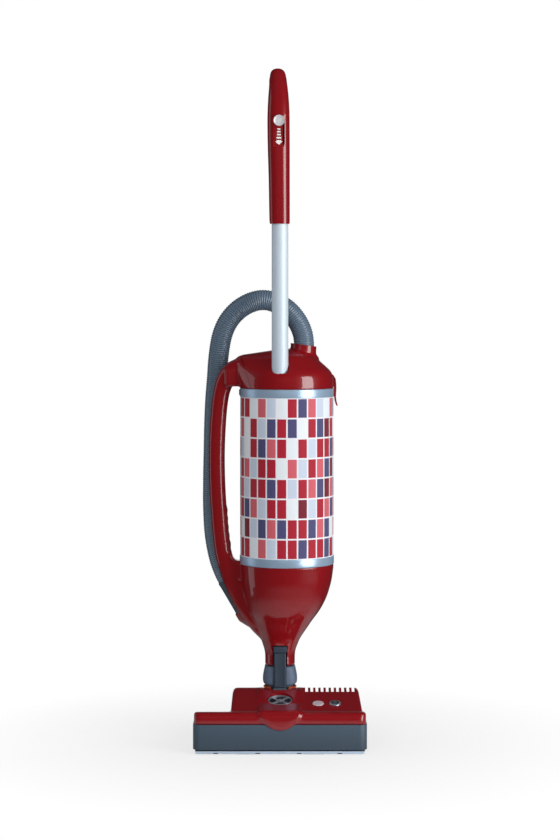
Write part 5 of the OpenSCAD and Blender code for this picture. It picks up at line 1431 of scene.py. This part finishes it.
class VACUUM_OT_stage(bpy.types.Operator):
    """White studio: floor that fades out, world, lamps and camera"""

    bl_idname = "vacuum.stage"
    bl_label = "Stage"

    def execute(self, context):
        stage = context.scene.vacuum_stage
        context.scene.view_settings.view_transform = "Standard"
        self.camera(context, stage)
        self.world(context)
        self.floor()
        self.lamp("key", (2.13, -1.66, 0.85), (1.4, 2.7), stage.key, (0.98, 0.99, 1))
        self.lamp("rim", (-2.4, 0.3, 0.9), (1.0, 3.0), stage.rim, (0.86, 0.93, 1))
        self.lamp("front", (-0.5, -3.4, 1.5), (1.8, 1.8), stage.front, (1, 1, 1), False)
        self.lamp("top", (0.2, -0.6, 3.0), (2.2, 1.6), stage.top, (1, 1, 1), False)
        return {"FINISHED"}

    def camera(self, context, stage):
        data = bpy.data.cameras.new("camera")
        data.lens = stage.lens
        data.shift_y = stage.shift
        data.clip_end = 50
        camera = bpy.data.objects.new("camera", data)
        camera.location = (0, -stage.distance, stage.height)
        camera.rotation_euler = (math.radians(90), 0, 0)
        context.scene.collection.objects.link(camera)
        context.scene.camera = camera

    def world(self, context):
        """White to the camera and, behind the object, in mirrors; a dimmer studio elsewhere."""
        world = bpy.data.worlds.new("studio")
        world.use_nodes = True
        tree = world.node_tree
        tree.nodes.clear()
        path = add(tree, "ShaderNodeLightPath")
        rays = {0: path.outputs["Is Glossy Ray"], 1: path.outputs["Is Transmission Ray"]}
        mirrored = add(tree, "ShaderNodeMath", rays, operation="MAXIMUM").outputs[0]
        ahead = add(tree, "ShaderNodeTexCoord").outputs["Generated"]
        ahead = add(tree, "ShaderNodeSeparateXYZ", {"Vector": ahead}).outputs["Y"]
        edge = {"Value": ahead, "From Min": 0.95, "From Max": 0.985}
        backdrop = add(tree, "ShaderNodeMapRange", edge).outputs[0]
        light = add(tree, "ShaderNodeBackground", {"Color": (0.93, 0.97, 1, 1), "Strength": 0.27})
        dim = add(tree, "ShaderNodeBackground", {"Color": (0.8, 0.9, 1, 1), "Strength": 0.03})
        white = add(tree, "ShaderNodeBackground", {"Color": (1, 1, 1, 1), "Strength": 1.0})
        mirror = blend_of(tree, backdrop, dim, white)
        lit = blend_of(tree, mirrored, light, mirror)
        mixed = blend_of(tree, path.outputs["Is Camera Ray"], lit, white)
        add(tree, "ShaderNodeOutputWorld", {"Surface": mixed.outputs[0]})
        context.scene.world = world

    def floor(self):
        bm = bmesh.new()
        bmesh.ops.create_circle(bm, cap_ends=True, segments=96, radius=2.4)
        bmesh.ops.translate(bm, verts=bm.verts, vec=(0, 0, -0.2 * MM))
        material, tree, shader = surface("matt_white_floor", (0.95, 0.95, 0.95), 0.7, specular_ior_level=0.1)
        place = add(tree, "ShaderNodeTexCoord").outputs["Object"]
        flat = add(tree, "ShaderNodeVectorMath", {0: place, 1: (1, 1, 0)}, operation="MULTIPLY").outputs[0]
        far = add(tree, "ShaderNodeVectorMath", {0: flat}, operation="LENGTH").outputs["Value"]
        share = add(tree, "ShaderNodeMapRange", {"Value": far, "From Min": 0.18, "From Max": 0.62}).outputs[0]
        clear = add(tree, "ShaderNodeBsdfTransparent")
        # white paper to the camera, with a light shadow
        seen = add(tree, "ShaderNodeLightPath").outputs["Is Camera Ray"]
        seen = add(tree, "ShaderNodeMath", {0: seen, 1: 0.72}, operation="MULTIPLY").outputs[0]
        paper = add(tree, "ShaderNodeEmission", {"Strength": 1.0})
        paper = blend_of(tree, seen, shader, paper)
        mixed = blend_of(tree, share, paper, clear)
        output = next(n for n in tree.nodes if n.type == "OUTPUT_MATERIAL")
        tree.links.new(mixed.outputs[0], output.inputs["Surface"])
        finish(bm, "floor", material)

    def lamp(self, name, place, size, power, colour, mirrored=True):
        data = bpy.data.lights.new(name, "AREA")
        data.color = colour
        data.shape = "RECTANGLE"
        data.size, data.size_y = size
        data.energy = power
        lamp = bpy.data.objects.new(name, data)
        lamp.location = place
        lamp.visible_glossy = mirrored
        aim = Vector((0, 0, place[2] if mirrored else 0.62)) - Vector(place)
        lamp.rotation_euler = aim.to_track_quat("-Z", "Y").to_euler()
        bpy.context.scene.collection.objects.link(lamp)


class VACUUM_OT_cad_finish(bpy.types.Operator):
    """Gives every CAD node that still shows the material of its slot"""

    bl_idname = "vacuum.cad_finish"
    bl_label = "Materials of the CAD nodes"

    def execute(self, context):
        slots = {part["node"]: part["material_slot"] for part in frame["record"]["subparts"]}
        for name, node in frame["nodes"].items():
            if node.hide_render:
                continue
            node.data.materials.clear()
            node.data.materials.append(MATERIALS[slots[name]])
        return {"FINISHED"}


class VACUUM_OT_materials(bpy.types.Operator):
    """Makes the materials"""

    bl_idname = "vacuum.materials"
    bl_label = "Materials"

    def execute(self, context):
        MATERIALS.update(make_materials())
        return {"FINISHED"}


OPERATORS = (
    VACUUM_OT_stage,
    VACUUM_OT_materials,
    VACUUM_OT_hose,
    VACUUM_OT_sleeve,
    VACUUM_OT_shells,
    VACUUM_OT_lid_fittings,
    VACUUM_OT_grip,
    VACUUM_OT_head_cover,
    VACUUM_OT_head_trim,
    VACUUM_OT_neck,
    VACUUM_OT_cad_finish,
)


class VACUUM_PT_panel(bpy.types.Panel):
    """Lists the pieces and their settings"""

    bl_label = "Vacuum cleaner"
    bl_idname = "VACUUM_PT_panel"
    bl_space_type = "VIEW_3D"
    bl_region_type = "UI"
    bl_category = "Vacuum"

    def draw(self, context):
        for group in ("vacuum_colours", "vacuum_sizes", "vacuum_stage"):
            settings = getattr(context.scene, group)
            box = self.layout.box()
            for name in settings.__annotations__:
                box.prop(settings, name)
        for operator in OPERATORS:
            self.layout.operator(operator.bl_idname)


GROUPS = {
    "vacuum_colours": VacuumColours,
    "vacuum_sizes": VacuumSizes,
    "vacuum_stage": VacuumStage,
}


def register():
    for name, group in GROUPS.items():
        bpy.utils.register_class(group)
        setattr(bpy.types.Scene, name, bpy.props.PointerProperty(type=group))
    for operator in OPERATORS:
        bpy.utils.register_class(operator)
    bpy.utils.register_class(VACUUM_PT_panel)


def unregister():
    bpy.utils.unregister_class(VACUUM_PT_panel)
    for operator in reversed(OPERATORS):
        bpy.utils.unregister_class(operator)
    for name, group in GROUPS.items():
        delattr(bpy.types.Scene, name)
        bpy.utils.unregister_class(group)


def main():
    register()
    for operator in OPERATORS:
        group, name = operator.bl_idname.split(".")
        getattr(getattr(bpy.ops, group), name)()


if __name__ == "__main__":
    main()
